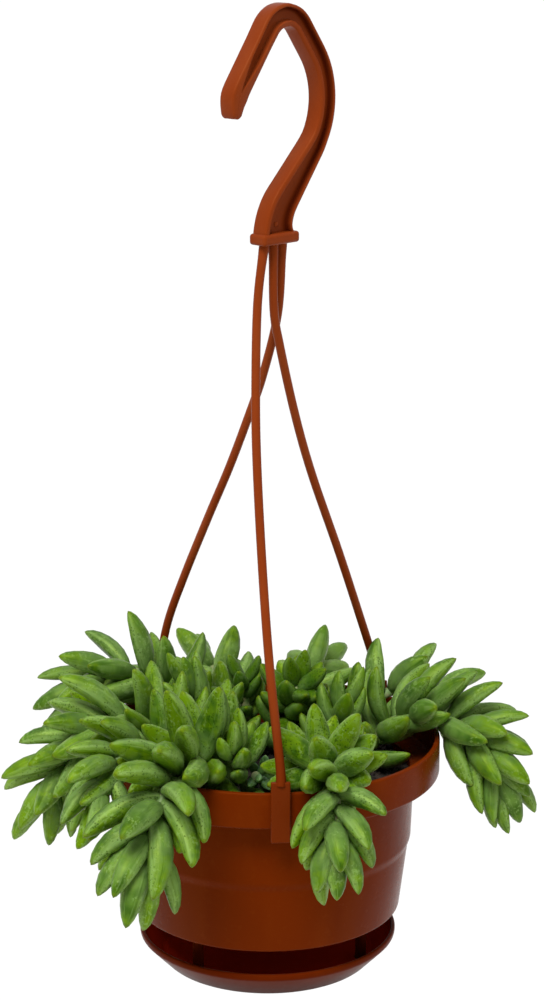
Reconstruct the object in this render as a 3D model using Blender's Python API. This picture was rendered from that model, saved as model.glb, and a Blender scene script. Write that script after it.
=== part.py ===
"""A burro's tail in a plastic hanging pot, with its clipped saucer, hanger, soil and leafy stems.

Lengths are named in millimetres about the pot's axis, with z zero on the rim's top, and are
scaled to metres as the meshes are made. An empty then carries every piece so that the world's
origin is the crown of the hook, where the pot hangs.
"""

import math
from dataclasses import dataclass

import bmesh
import bpy
import numpy as np
from mathutils import Vector

MM = 0.001
GAP = 0.3
CUT_PAST = 1.0
GOLDEN_ANGLE = math.radians(137.5)

# Pot
RIM_RADIUS = 60.0
RIM_WALL = 1.8
RIM_HEIGHT = 12.5
RIM_CHAMFER = 0.5
WALL = 1.5
POT_DEPTH = 62.0
BODY_TOP_RADIUS = 51.2
STEP_RADIUS = 50.3
STEP_Z = -36.8
STEP_DROP = 1.0
BELOW_STEP_RADIUS = 49.2
FOOT_RADIUS = 46.4
INSET_RADIUS = 44.2
INSET_HEIGHT = 4.0
INSET_DRAFT = 0.5
BASE_THICKNESS = 1.6
TURN_STEPS = 36
DRAIN_HOLES = 6
DRAIN_CIRCLE = 22.0
DRAIN_RADIUS = 3.5
FIRST_DRAIN_ANGLE = 30.0
DRILL_SIDES = 12

# Saucer
SAUCER_RIM_RADIUS = 45.2
SAUCER_RIM_Z = -71.0
SAUCER_FOOT_RADIUS = 36.5
SAUCER_FOOT_Z = -82.0
SAUCER_WALL = 1.4
SAUCER_RIM_HEIGHT = 2.0
POST_ANGLES = (75.0, 195.0, 315.0)
POST_CIRCLE = 34.0
POST_RADIUS = 1.9
POST_HEAD_RADIUS = 3.0
POST_HEAD_HEIGHT = 2.4
POST_SINK = 0.8
POST_PLAY = 0.4
POST_SIDES = 12

# Hanger
HOOK_TURN = math.radians(45.0)
COLLAR_AXIS = (1.9, -2.0)
HOOK_DEPTH = 6.4
HOOK_CHAMFER = 0.5
ARC_STEP = 15.0
HOOK_TIP = (-19.4, 213.8)
HOOK_CORNERS = (
    (-18.4, 221.3, 14.0),
    (4.0, 253.1, 9.2),
    (30.0, 217.3, 26.0),
    (-0.2, 181.5, 18.0),
)
HOOK_FOOT = (-0.2, 173.5)
BAND_WIDENS = ((173.0, 13.6), (179.0, 12.2), (186.0, 11.0), (192.0, 9.8), (206.0, 7.2))
TIP_NARROWS = ((213.8, 3.8), (221.0, 7.0), (238.0, 7.0), (246.0, 7.6))
GROOVE_DEPTH = 2.2
INNER_FLANGE = 1.9
OUTER_FLANGE = 1.2
GROOVE_FROM_TIP = 9.0
GROOVE_ABOVE_COLLAR = 0.8
COLLAR_SIZE = (15.6, 7.6, 3.8)
COLLAR_Z = 173.8
LEG_RADIUS = 1.5
LEG_SPACING = 4.2
LEG_SIDES = 6
LEG_POINT_SPACING = 9.0
CLIP_ANGLES = {"front": 4.0, "right": 138.0, "left": -138.0}
CLIP_WIDTH = 6.4
CLIP_THICKNESS = 1.6
CLIP_TOP = 4.5
CLIP_BOTTOM = -16.5
CLIP_MIDDLE = RIM_RADIUS + GAP + CLIP_THICKNESS / 2
TOOTH_HEIGHT = 2.2
TOOTH_REACH = 5.5
TOOTH_WIDTH = CLIP_WIDTH - 1.0
TOOTH_SINK = 0.4
LEG_ABOVE_PLATE = 4.5
LEG_ABOVE_PLATE_RADIUS = RIM_RADIUS - 0.8
LEG_IN_PLATE = 1.5
LEG_ROUTES = {
    "front": (
        (-3.3, -9.0, 153.0),
        (-3.9, -18.0, 126.0),
        (-3.5, -26.5, 103.0),
        (-1.6, -39.0, 69.0),
        (0.8, -50.5, 39.0),
    ),
    "right": (
        (2.1, -1.6, 150.0),
        (4.1, 0.8, 137.0),
        (9.3, 8.0, 112.0),
        (15.3, 15.6, 89.0),
        (25.1, 27.2, 58.0),
        (33.5, 37.0, 30.0),
    ),
    "left": (
        (3.5, 3.6, 148.0),
        (-1.4, 8.6, 126.0),
        (-5.8, 13.0, 112.0),
        (-13.0, 20.0, 91.0),
        (-21.0, 28.3, 70.0),
        (-29.9, 36.6, 46.0),
        (-36.2, 41.6, 27.0),
    ),
}

# Soil
SOIL_TOP = -14.0
SOIL_BUMP = 0.9
SOIL_RINGS = 3
SOIL_SIDES = 24
SOIL_EDGE = 0.985
HOLE_SIDES = 6
POCKET_SIDES = 8

# Stems and leaves
STEM_RADIUS = 2.1
STEM_SIDES = 6
STEM_POINT_SPACING = 8.0
STEM_FOOT_Z = -32.0
STEM_RISE_Z = (-12.5, -9.5)
STEM_END_TAPER = 0.7
HOLE_ROOM = 0.7
LEAF_SIDES = 4
LEAF_PROFILE = ((0.3, 0.9), (0.68, 0.86))
LEAF_THICKNESS = 0.8
LEAF_GAP = 0.5
LEAF_OFFSET = 0.25 * STEM_RADIUS
FIRST_LEAF_RISE = 5.0
CROWDING = 0.85
TIP_SHORTENS = 0.22
TIP_NARROWS_LEAF = 0.16
LENGTH_RANGE = (0.86, 1.06)
WIDTH_RANGE = (0.9, 1.06)
BEND_RANGE = (0.7, 1.25)
SWAY = 0.05
TURN_SPREAD = 0.12
SPLAY_SPREAD = 5.0
SPLAY_LIMITS = (4.0, 105.0)
PROBES = (0.2, 0.35, 0.5, 0.65, 0.8, 0.93)
PROBE_RADII = (0.86, 0.98, 0.98, 0.89, 0.68, 0.36)
SPLAY_TRIES = (0.0, -8.0, 8.0, -17.0, -28.0)
TURN_TRIES = (0.0, -15.0, 15.0, -32.0, 32.0, -50.0, 50.0)
SIZE_TRIES = (1.0, 0.88, 0.76, 0.66)
SIZE_COST = 25.0
TURN_COST = 1.0 / 12.0
LEAN_COST = 1.0 / 9.0
PRESS_COST = 4.0
PRESS_ALLOWED = 1.5
COST_LIMIT = 26.0
CLIP_BALL_RADIUS = 1.7
CLIP_BALL_OFFSET = 2.2


@dataclass(frozen=True)
class Stem:
    """One leafy stem: where it stands in the soil, its route on from there, and its leaves."""

    name: str
    route: tuple
    leaves: int
    length: float
    width: float
    splay: tuple
    bend: float
    seed: int


@dataclass(frozen=True)
class Leaf:
    """One leaf: its root, its axes along, across and towards its bend, how it curls, and its size."""

    root: np.ndarray
    axes: np.ndarray
    curl: np.ndarray
    length: float
    width: float


STEMS = (
    Stem(
        "stem_front_left",
        ((-19, -25), (-24, -41, 3), (-30, -55, 6), (-34, -66, 1), (-37.5, -72, -8), (-40, -74, -18)),
        leaves=40,
        length=28.5,
        width=10.0,
        splay=(82, 38),
        bend=0.38,
        seed=11,
    ),
    Stem(
        "stem_front_right",
        ((17, -30), (20, -48, 5), (22, -61, 5), (22, -69, -1), (21, -72.5, -8), (20, -73, -15)),
        leaves=40,
        length=22.5,
        width=9.0,
        splay=(84, 38),
        bend=0.3,
        seed=23,
    ),
    Stem(
        "stem_right",
        ((34, 4), (43, 4, 2), (53, 3, 5), (63, 2, 3), (72, 0, -2), (78, -2, -9), (81.5, -3, -16)),
        leaves=44,
        length=24.5,
        width=8.8,
        splay=(72, 26),
        bend=0.28,
        seed=35,
    ),
    Stem(
        "stem_left",
        ((-33, -9), (-44, -11, 7), (-54, -13, 6), (-63, -15, 1), (-70, -16, -7), (-74, -16, -16)),
        leaves=38,
        length=26.0,
        width=9.2,
        splay=(78, 30),
        bend=0.32,
        seed=41,
    ),
    Stem(
        "stem_left_back",
        ((-29, 17), (-38, 20, 10), (-48, 22, 15), (-58, 23, 13), (-67, 24, 7)),
        leaves=27,
        length=25.5,
        width=8.8,
        splay=(72, 28),
        bend=0.24,
        seed=52,
    ),
    Stem(
        "stem_left_front",
        ((-28, -21), (-35, -29, 4), (-43, -38, 8), (-50, -47, 6), (-55, -54, -2)),
        leaves=26,
        length=25.0,
        width=9.0,
        splay=(74, 26),
        bend=0.28,
        seed=67,
    ),
    Stem(
        "stem_left_upright",
        ((-19, 1), (-22, 1, 4), (-26, 0, 11), (-28, 0, 17)),
        leaves=15,
        length=25.0,
        width=9.0,
        splay=(60, 14),
        bend=0.12,
        seed=71,
    ),
    Stem(
        "stem_front_short",
        ((-7, -34), (-10, -41, 2), (-13, -46, 9)),
        leaves=16,
        length=20.0,
        width=8.2,
        splay=(74, 24),
        bend=0.22,
        seed=83,
    ),
    Stem(
        "stem_centre_back",
        ((7, 16), (8, 15, 2), (9, 13, 9), (10, 9, 14)),
        leaves=29,
        length=16.5,
        width=8.2,
        splay=(90, 46),
        bend=0.26,
        seed=97,
    ),
    Stem(
        "stem_centre_right",
        ((22, -5), (24, -5, 2), (26, -4, 11)),
        leaves=15,
        length=19.0,
        width=7.6,
        splay=(72, 20),
        bend=0.2,
        seed=89,
    ),
    Stem(
        "stem_small_dark",
        ((-7, 22), (-8, 22, 4), (-9, 20, 13)),
        leaves=17,
        length=14.5,
        width=6.2,
        splay=(84, 28),
        bend=0.2,
        seed=103,
    ),
    Stem(
        "stem_new_shoot",
        ((-1, -20), (-3, -30, -5), (-4, -43, 0)),
        leaves=11,
        length=8.5,
        width=3.8,
        splay=(80, 25),
        bend=0.2,
        seed=113,
    ),
    Stem(
        "stem_right_back",
        ((27, 24), (40, 29, 3), (53, 35, 5), (64, 40, 0), (71, 42, -9), (74, 43, -19)),
        leaves=20,
        length=21.0,
        width=8.6,
        splay=(76, 26),
        bend=0.28,
        seed=127,
    ),
    Stem(
        "stem_back_left",
        ((-14, 38), (-18, 50, 3), (-22, 62, 4), (-26, 71, -2), (-28, 75, -12), (-29, 77, -23)),
        leaves=20,
        length=20.5,
        width=8.8,
        splay=(76, 26),
        bend=0.3,
        seed=131,
    ),
    Stem(
        "stem_back_right",
        ((12, 36), (15, 49, 3), (18, 62, 4), (20, 71, -3), (21, 75, -13)),
        leaves=17,
        length=17.5,
        width=8.2,
        splay=(76, 26),
        bend=0.3,
        seed=149,
    ),
)


def material(name, colour, roughness):
    """A Principled material with one plain colour."""
    made = bpy.data.materials.new(name)
    made.use_nodes = True
    shader = made.node_tree.nodes["Principled BSDF"]
    shader.inputs["Base Color"].default_value = (*colour, 1.0)
    shader.inputs["Roughness"].default_value = roughness
    return made


def terracotta():
    return material("terracotta_plastic", (0.16, 0.035, 0.009), 0.38)


def hanger_plastic():
    return material("hanger_plastic", (0.27, 0.065, 0.022), 0.42)


def potting_soil():
    return material("potting_soil", (0.02, 0.014, 0.01), 0.95)


def leaf_flesh():
    return material("leaf_flesh", (0.12, 0.25, 0.05), 0.45)


def object_of(name, points, faces, finish):
    """A mesh object from points in millimetres."""
    mesh = bpy.data.meshes.new(name)
    mesh.from_pydata([tuple(float(c) * MM for c in p) for p in points], [], faces)
    mesh.materials.append(finish)
    made = bpy.data.objects.new(name, mesh)
    bpy.context.scene.collection.objects.link(made)
    return made


def clean_normals(made):
    """Merges doubled points and turns every face outwards."""
    work = bmesh.new()
    work.from_mesh(made.data)
    bmesh.ops.remove_doubles(work, verts=work.verts, dist=1e-6)
    bmesh.ops.recalc_face_normals(work, faces=work.faces)
    work.to_mesh(made.data)
    work.free()


def turned(name, profile, finish, steps=TURN_STEPS):
    """A closed profile of (radius, z) points turned round the pot's axis."""
    points = []
    rings = []
    for radius, z in profile:
        if radius == 0.0:
            rings.append([len(points)])
            points.append((0.0, 0.0, z))
            continue
        rings.append(list(range(len(points), len(points) + steps)))
        for i in range(steps):
            angle = math.tau * i / steps
            points.append((radius * math.sin(angle), -radius * math.cos(angle), z))
    faces = []
    for here, there in zip(rings, rings[1:] + rings[:1]):
        for i in range(steps):
            quad = [here[i % len(here)], here[(i + 1) % len(here)]]
            quad += [there[(i + 1) % len(there)], there[i % len(there)]]
            corners = list(dict.fromkeys(quad))
            if len(corners) > 2:
                faces.append(corners)
    made = object_of(name, points, faces, finish)
    clean_normals(made)
    made.data.shade_smooth()
    made.data.set_sharp_from_angle(angle=math.radians(35.0))
    return made


def swept(name, rings, finish):
    """A closed tube through rings of points, all of one count, with flat ends."""
    count = len(rings[0])
    points = [p for ring in rings for p in ring]
    faces = []
    for row in range(len(rings) - 1):
        for i in range(count):
            j = (i + 1) % count
            faces.append((row * count + i, row * count + j, (row + 1) * count + j, (row + 1) * count + i))
    faces.append(tuple(range(count)))
    faces.append(tuple((len(rings) - 1) * count + i for i in range(count)))
    made = object_of(name, points, faces, finish)
    clean_normals(made)
    return made


def joined(target, pieces, operation="UNION", solver="EXACT"):
    """Applies one Boolean of the pieces to the target, and removes the pieces."""
    group = bpy.data.collections.new("pieces")
    for piece in pieces:
        group.objects.link(piece)
    cut = target.modifiers.new("join", "BOOLEAN")
    cut.operand_type = "COLLECTION"
    cut.collection = group
    cut.operation = operation
    cut.solver = solver
    graph = bpy.context.evaluated_depsgraph_get()
    mesh = bpy.data.meshes.new_from_object(target.evaluated_get(graph))
    target.modifiers.clear()
    target.data = mesh
    for piece in pieces:
        bpy.data.objects.remove(piece)
    bpy.data.collections.remove(group)
    return target


def keep_largest_shell(made):
    """Fills any hollow that fusing sealed and drops loose scraps: only the outer skin stays."""
    work = bmesh.new()
    work.from_mesh(made.data)
    waiting = set(work.faces)
    shells = []
    while waiting:
        first = waiting.pop()
        shell = {first}
        edge = [first]
        while edge:
            for line in edge.pop().edges:
                for face in line.link_faces:
                    if face in waiting:
                        waiting.discard(face)
                        shell.add(face)
                        edge.append(face)
        shells.append(shell)
    largest = max(shells, key=len)
    scraps = [face for shell in shells if shell is not largest for face in shell]
    bmesh.ops.delete(work, geom=scraps, context="FACES")
    work.to_mesh(made.data)
    work.free()


def upright_cylinder(name, x, y, low, high, radius, sides, finish):
    """A plain cylinder with a vertical axis."""
    turns = [math.tau * i / sides for i in range(sides)]
    ring = [(radius * math.cos(turn), radius * math.sin(turn)) for turn in turns]
    rings = [[(x + u, y + v, z) for u, v in ring] for z in (low, high)]
    return swept(name, rings, finish)


def box(name, centre, size, finish, turn=0.0):
    """A block turned about the vertical through its centre."""
    half_x, half_y, half_z = (side / 2 for side in size)
    ring = []
    for u, v in ((-half_x, -half_y), (half_x, -half_y), (half_x, half_y), (-half_x, half_y)):
        ring.append((u * math.cos(turn) - v * math.sin(turn), u * math.sin(turn) + v * math.cos(turn)))
    rings = [[(centre[0] + u, centre[1] + v, centre[2] + z) for u, v in ring] for z in (-half_z, half_z)]
    return swept(name, rings, finish)


def polar(angle, radius):
    """Place on a circle about the pot's axis, the angle in degrees from the front towards +X."""
    turn = math.radians(angle)
    return radius * math.sin(turn), -radius * math.cos(turn)


def smooth_route(points, per_span):
    """A curve through the points, which leaves each along the line between its neighbours."""
    p = np.array(points, float)
    p = np.vstack([2 * p[0] - p[1], p, 2 * p[-1] - p[-2]])
    out = []
    for i in range(1, len(p) - 2):
        for t in np.arange(per_span) / per_span:
            a = 2 * p[i]
            b = p[i + 1] - p[i - 1]
            c = 2 * p[i - 1] - 5 * p[i] + 4 * p[i + 1] - p[i + 2]
            d = 3 * p[i] - p[i - 1] - 3 * p[i + 1] + p[i + 2]
            out.append((a + b * t + c * t * t + d * t**3) / 2)
    out.append(p[-2])
    return np.array(out)


def even_route(points, spacing):
    """The smooth route again, with its points an even distance apart."""
    return spaced_along(smooth_route(points, 12), spacing)


def spaced_along(curve, spacing):
    """Points an even distance apart along a curve."""
    along = np.concatenate([[0.0], np.cumsum(np.linalg.norm(np.diff(curve, axis=0), axis=1))])
    places = np.linspace(0.0, along[-1], max(3, round(along[-1] / spacing) + 1))
    return np.stack([np.interp(places, along, curve[:, k]) for k in range(3)], axis=1)


def carried_frames(curve):
    """Tangents, and two normals that are carried along the curve without twisting."""
    tangents = np.gradient(curve, axis=0)
    tangents /= np.linalg.norm(tangents, axis=1)[:, None]
    normal = np.array([1.0, 0.0, 0.0])
    normals = []
    for tangent in tangents:
        normal = normal - tangent * normal.dot(tangent)
        normal = normal / np.linalg.norm(normal)
        normals.append(normal)
    normals = np.array(normals)
    return tangents, normals, np.cross(tangents, normals)


def tube_rings(curve, radius, sides, end_taper=1.0):
    """Rings of points round a curve, its last ring narrowed by the taper."""
    _, normals, binormals = carried_frames(curve)
    rings = []
    for row, centre in enumerate(curve):
        size = radius * (end_taper if row == len(curve) - 1 else 1.0)
        angles = [math.tau * i / sides for i in range(sides)]
        ways = [math.cos(a) * normals[row] + math.sin(a) * binormals[row] for a in angles]
        rings.append([centre + size * way for way in ways])
    return rings


def pot_profile():
    """The pot's section, from the outside of its rim down, across the base and up inside."""
    base_z = -POT_DEPTH + INSET_HEIGHT
    return (
        (RIM_RADIUS, -RIM_HEIGHT),
        (BODY_TOP_RADIUS, -RIM_HEIGHT),
        (STEP_RADIUS, STEP_Z),
        (BELOW_STEP_RADIUS, STEP_Z - STEP_DROP),
        (FOOT_RADIUS, -POT_DEPTH),
        (INSET_RADIUS, -POT_DEPTH),
        (INSET_RADIUS - INSET_DRAFT, base_z),
        (0.0, base_z),
        (0.0, base_z + BASE_THICKNESS),
        (FOOT_RADIUS - WALL, base_z + BASE_THICKNESS),
        (BELOW_STEP_RADIUS - WALL, STEP_Z - STEP_DROP),
        (BODY_TOP_RADIUS - WALL, -RIM_HEIGHT + WALL),
        (RIM_RADIUS - RIM_WALL, -RIM_HEIGHT + WALL),
        (RIM_RADIUS - RIM_WALL, -RIM_CHAMFER),
        (RIM_RADIUS - RIM_WALL + RIM_CHAMFER, 0.0),
        (RIM_RADIUS - RIM_CHAMFER, 0.0),
        (RIM_RADIUS, -RIM_CHAMFER),
    )


def make_pot(finish):
    """The pot, with drain holes and the three holes for the saucer's posts."""
    pot = turned("pot", pot_profile(), finish)
    low = -POT_DEPTH - CUT_PAST
    high = -POT_DEPTH + INSET_HEIGHT + BASE_THICKNESS + CUT_PAST
    drills = []
    for i in range(DRAIN_HOLES):
        x, y = polar(FIRST_DRAIN_ANGLE + 360.0 * i / DRAIN_HOLES, DRAIN_CIRCLE)
        drills.append(upright_cylinder("drill", x, y, low, high, DRAIN_RADIUS, DRILL_SIDES, finish))
    hole = POST_RADIUS + POST_PLAY
    for angle in POST_ANGLES:
        x, y = polar(angle, POST_CIRCLE)
        drills.append(upright_cylinder("drill", x, y, low, high, hole, DRILL_SIDES, finish))
    return joined(pot, drills, "DIFFERENCE")


def make_saucer(finish):
    """The dish, with three posts whose heads snap in above the pot's base."""
    flare_height = SAUCER_RIM_Z - SAUCER_RIM_HEIGHT - SAUCER_FOOT_Z
    slope = (SAUCER_RIM_RADIUS - SAUCER_FOOT_RADIUS) / flare_height
    floor = SAUCER_FOOT_Z + SAUCER_WALL
    profile = (
        (0.0, SAUCER_FOOT_Z),
        (SAUCER_FOOT_RADIUS, SAUCER_FOOT_Z),
        (SAUCER_RIM_RADIUS, SAUCER_RIM_Z - SAUCER_RIM_HEIGHT),
        (SAUCER_RIM_RADIUS, SAUCER_RIM_Z),
        (SAUCER_RIM_RADIUS - SAUCER_WALL, SAUCER_RIM_Z),
        (SAUCER_RIM_RADIUS - SAUCER_WALL, SAUCER_RIM_Z - SAUCER_RIM_HEIGHT),
        (SAUCER_FOOT_RADIUS - SAUCER_WALL + slope * SAUCER_WALL, floor),
        (0.0, floor),
    )
    saucer = turned("saucer", profile, finish)
    seat = -POT_DEPTH + INSET_HEIGHT + BASE_THICKNESS + GAP
    posts = []
    for angle in POST_ANGLES:
        x, y = polar(angle, POST_CIRCLE)
        post_low = floor - POST_SINK
        post_high = seat + POST_SINK
        post = upright_cylinder("post", x, y, post_low, post_high, POST_RADIUS, POST_SIDES, finish)
        head_high = seat + POST_HEAD_HEIGHT
        head = upright_cylinder("head", x, y, seat, head_high, POST_HEAD_RADIUS, POST_SIDES, finish)
        posts += [post, head]
    return joined(saucer, posts)


def arc_at_corner(before, corner, after, radius):
    """Directions of the two runs at a corner, half the angle between them and the arc's centre."""
    back = (before - corner).normalized()
    ahead = (after - corner).normalized()
    half = back.angle(ahead) / 2
    return back, ahead, half, corner + (back + ahead).normalized() * (radius / math.sin(half))


def rounded_line(start, corners, end):
    """Points in a plane along straight runs, with an arc of the given radius at each corner."""
    points = [Vector(start)]
    stops = [Vector(start), *(Vector(c[:2]) for c in corners), Vector(end)]
    for i, (_, _, radius) in enumerate(corners, start=1):
        before, after, half, centre = arc_at_corner(*stops[i - 1 : i + 2], radius)
        first = stops[i] + before * (radius / math.tan(half)) - centre
        last = stops[i] + after * (radius / math.tan(half)) - centre
        sweep = first.angle_signed(last)
        steps = max(2, round(math.degrees(abs(sweep)) / ARC_STEP))
        for k in range(steps + 1):
            turn = -sweep * k / steps
            x = first.x * math.cos(turn) - first.y * math.sin(turn)
            y = first.x * math.sin(turn) + first.y * math.cos(turn)
            points.append(centre + Vector((x, y)))
    points.append(Vector(end))
    return points


def band_width(z, past_crown):
    """Width of the hook's band in its own plane, which widens towards the collar."""
    heights, widths = zip(*(BAND_WIDENS if past_crown else TIP_NARROWS))
    return float(np.interp(z, heights, widths))


def in_hook_plane(u, v, across):
    """World place of a point u along, v up and across the hook's plane."""
    x = COLLAR_AXIS[0] + u * math.cos(HOOK_TURN) - across * math.sin(HOOK_TURN)
    y = COLLAR_AXIS[1] + u * math.sin(HOOK_TURN) + across * math.cos(HOOK_TURN)
    return x, y, v


def hook_crown():
    """The hook's inner crown, where it hangs on its rail: above the centre of its top arc."""
    radius = HOOK_CORNERS[1][2]
    centre = arc_at_corner(*(Vector(corner[:2]) for corner in HOOK_CORNERS[:3]), radius)[3]
    top = centre.y + radius
    return in_hook_plane(centre.x, top - band_width(top, False) / 2, 0.0)


def hook_rings(line, section):
    """Rings of the section swept along the hook's line; the section gives (out, across) points."""
    rings = []
    crown = max(range(len(line)), key=lambda i: line[i].y)
    for i, place in enumerate(line):
        ahead = (line[min(i + 1, len(line) - 1)] - line[max(i - 1, 0)]).normalized()
        outward = Vector((-ahead.y, ahead.x))
        width = band_width(place.y, i > crown)
        ring = []
        for out, across in section(width):
            spot = place + outward * out
            ring.append(in_hook_plane(spot.x, spot.y, across))
        rings.append(ring)
    return rings


def band_section(width):
    """The hook's full section, with small chamfers."""
    half = width / 2
    deep = HOOK_DEPTH / 2
    corners = ((half, deep), (-half, deep), (-half, -deep), (half, -deep))
    ring = []
    for out, across in corners:
        one = (out - math.copysign(HOOK_CHAMFER, out), across)
        two = (out, across - math.copysign(HOOK_CHAMFER, across))
        ring += [one, two] if out * across < 0 else [two, one]
    return ring


def groove_section(side):
    """The section of the groove on one flat side of the hook."""

    def section(width):
        half = width / 2
        floor = side * (HOOK_DEPTH / 2 - GROOVE_DEPTH)
        above = side * (HOOK_DEPTH / 2 + CUT_PAST)
        high = half - OUTER_FLANGE
        low = -half + INNER_FLANGE
        return ((low, floor), (high, floor), (high, above), (low, above))

    return section


def leg_route(name):
    """A leg's points from the collar to its clip."""
    order = {"front": -1, "right": 0, "left": 1}[name]
    top = in_hook_plane(order * LEG_SPACING, COLLAR_Z - LEG_RADIUS, 0.0)
    above = (*polar(CLIP_ANGLES[name], LEG_ABOVE_PLATE_RADIUS), CLIP_TOP + LEG_ABOVE_PLATE)
    end = (*polar(CLIP_ANGLES[name], CLIP_MIDDLE), CLIP_TOP - LEG_IN_PLATE)
    return (top, *LEG_ROUTES[name], above, end)


def clip_pieces(angle, finish):
    """The plate outside the rim and the tooth that catches under it."""
    turn = math.radians(angle)
    plate_size = (CLIP_WIDTH, CLIP_THICKNESS, CLIP_TOP - CLIP_BOTTOM)
    plate_place = (*polar(angle, CLIP_MIDDLE), (CLIP_TOP + CLIP_BOTTOM) / 2)
    tooth_size = (TOOTH_WIDTH, TOOTH_REACH, TOOTH_HEIGHT)
    tooth_middle = CLIP_MIDDLE + CLIP_THICKNESS / 2 - TOOTH_SINK - TOOTH_REACH / 2
    tooth_place = (*polar(angle, tooth_middle), -RIM_HEIGHT - GAP - TOOTH_HEIGHT / 2)
    plate = box("plate", plate_place, plate_size, finish, turn)
    return [plate, box("tooth", tooth_place, tooth_size, finish, turn)]


def make_hanger(finish):
    """Hook, collar, legs and clips, which are one moulding."""
    line = rounded_line(HOOK_TIP, HOOK_CORNERS, HOOK_FOOT)
    hook = swept("hanger", hook_rings(line, band_section), finish)
    travelled = 0.0
    start = 0
    while travelled < GROOVE_FROM_TIP:
        travelled += (line[start + 1] - line[start]).length
        start += 1
    groove_end = COLLAR_Z + COLLAR_SIZE[2] / 2 + GROOVE_ABOVE_COLLAR
    groove_line = line[start:-1] + [Vector((HOOK_FOOT[0], groove_end))]
    grooves = [swept("groove", hook_rings(groove_line, groove_section(side)), finish) for side in (-1, 1)]
    joined(hook, grooves, "DIFFERENCE")
    pieces = [box("collar", in_hook_plane(0.0, COLLAR_Z, 0.0), COLLAR_SIZE, finish, HOOK_TURN)]
    for name, angle in CLIP_ANGLES.items():
        curve = even_route(leg_route(name), LEG_POINT_SPACING)
        pieces.append(swept("leg", tube_rings(curve, LEG_RADIUS, LEG_SIDES), finish))
        pieces += clip_pieces(angle, finish)
    return joined(hook, pieces)


def soil_height(x, y):
    """The soil's gently uneven top: one broad wave and one short one."""
    broad = math.sin(0.31 * x + 0.8) * math.cos(0.27 * y)
    short = 0.4 * math.sin(0.7 * x - 0.5 * y)
    return SOIL_TOP + SOIL_BUMP * (broad + short) / 1.4


def make_soil(finish):
    """Soil that fills the pot, with plain holes for the stems and pockets over the posts' heads."""
    floor = -POT_DEPTH + INSET_HEIGHT + BASE_THICKNESS + GAP
    low = FOOT_RADIUS - WALL - GAP
    step = STEP_Z - STEP_DROP
    taper = (BODY_TOP_RADIUS - BELOW_STEP_RADIUS) / (-RIM_HEIGHT + WALL - step)
    wide = BELOW_STEP_RADIUS - WALL - GAP
    top = wide + taper * (SOIL_TOP - SOIL_BUMP - step)
    radii = [(low, floor), (wide, step), (top, SOIL_TOP - SOIL_BUMP)]
    points = [(0.0, 0.0, floor)]
    for radius, z in radii:
        for i in range(SOIL_SIDES):
            x, y = polar(360.0 * i / SOIL_SIDES, radius)
            points.append((x, y, z))
    for ring in range(SOIL_RINGS):
        radius = top * SOIL_EDGE * (1.0 - ring / SOIL_RINGS)
        for i in range(SOIL_SIDES):
            x, y = polar(360.0 * i / SOIL_SIDES, radius)
            points.append((x, y, soil_height(x, y)))
    points.append((0.0, 0.0, soil_height(0.0, 0.0)))
    faces = [(0, 1 + i, 1 + (i + 1) % SOIL_SIDES) for i in range(SOIL_SIDES)]
    for ring in range(len(radii) + SOIL_RINGS - 1):
        here = 1 + ring * SOIL_SIDES
        for i in range(SOIL_SIDES):
            j = (i + 1) % SOIL_SIDES
            faces.append((here + i, here + SOIL_SIDES + i, here + SOIL_SIDES + j, here + j))
    last = len(points) - 1
    inner = last - SOIL_SIDES
    faces += [(last, inner + i, inner + (i + 1) % SOIL_SIDES) for i in range(SOIL_SIDES)]
    soil = object_of("soil", points, faces, finish)
    clean_normals(soil)
    drills = []
    hole = STEM_RADIUS + HOLE_ROOM
    below = STEM_FOOT_Z - GAP
    above = SOIL_TOP + SOIL_BUMP + CUT_PAST
    for stem in STEMS:
        x, y = stem.route[0]
        drills.append(upright_cylinder("drill", x, y, below, above, hole, HOLE_SIDES, finish))
    pocket = POST_HEAD_RADIUS / math.cos(math.pi / POCKET_SIDES) + GAP
    head = floor + POST_HEAD_HEIGHT + GAP
    for angle in POST_ANGLES:
        x, y = polar(angle, POST_CIRCLE)
        cutter = upright_cylinder("pocket", x, y, floor - CUT_PAST, head, pocket, POCKET_SIDES, finish)
        drills.append(cutter)
    return joined(soil, drills, "DIFFERENCE")


def stem_curve(stem):
    """The stem's centre line: straight up through the soil, then along its route."""
    x, y = stem.route[0]
    rise = [(x, y, STEM_FOOT_Z), (x, y, STEM_RISE_Z[0]), (x, y, STEM_RISE_Z[1])]
    return even_route((*rise, *stem.route[1:]), 2.0)


def leaf_axes(tangent, side, splay):
    """A leaf's own axes: along it, across it, and the way its tip bends."""
    along = math.cos(splay) * tangent + math.sin(splay) * side
    bend = math.sin(splay) * tangent - math.cos(splay) * side
    return np.array([along, np.cross(bend, along), bend])


def leaf_centre(leaf, t):
    """The middle of a leaf at a share of its length from its root."""
    return leaf.root + leaf.length * (t * leaf.axes[0] + t**2 * leaf.curl)


def probe_places(leaf):
    """Centres of the balls that stand for a leaf when its clearance is measured."""
    return leaf_centre(leaf, np.array(PROBES)[:, None])


def pot_distance(places):
    """Distance from each place to the pot's rim band, ledge, body and soil."""
    radius = np.hypot(places[:, 0], places[:, 1])
    z = places[:, 2]
    found = np.full(len(places), np.inf)
    blocks = (
        (RIM_RADIUS - RIM_WALL, RIM_RADIUS, -RIM_HEIGHT, 0.0),
        (BODY_TOP_RADIUS - WALL, RIM_RADIUS, -RIM_HEIGHT, -RIM_HEIGHT + WALL),
        (0.0, BODY_TOP_RADIUS, -POT_DEPTH, SOIL_TOP + SOIL_BUMP),
        (0.0, SAUCER_RIM_RADIUS, SAUCER_FOOT_Z, SAUCER_RIM_Z),
    )
    for inner, outer, low, high in blocks:
        sideways = np.maximum(np.maximum(inner - radius, radius - outer), 0.0)
        upwards = np.maximum(np.maximum(low - z, z - high), 0.0)
        found = np.minimum(found, np.hypot(sideways, upwards))
    return found


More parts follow.
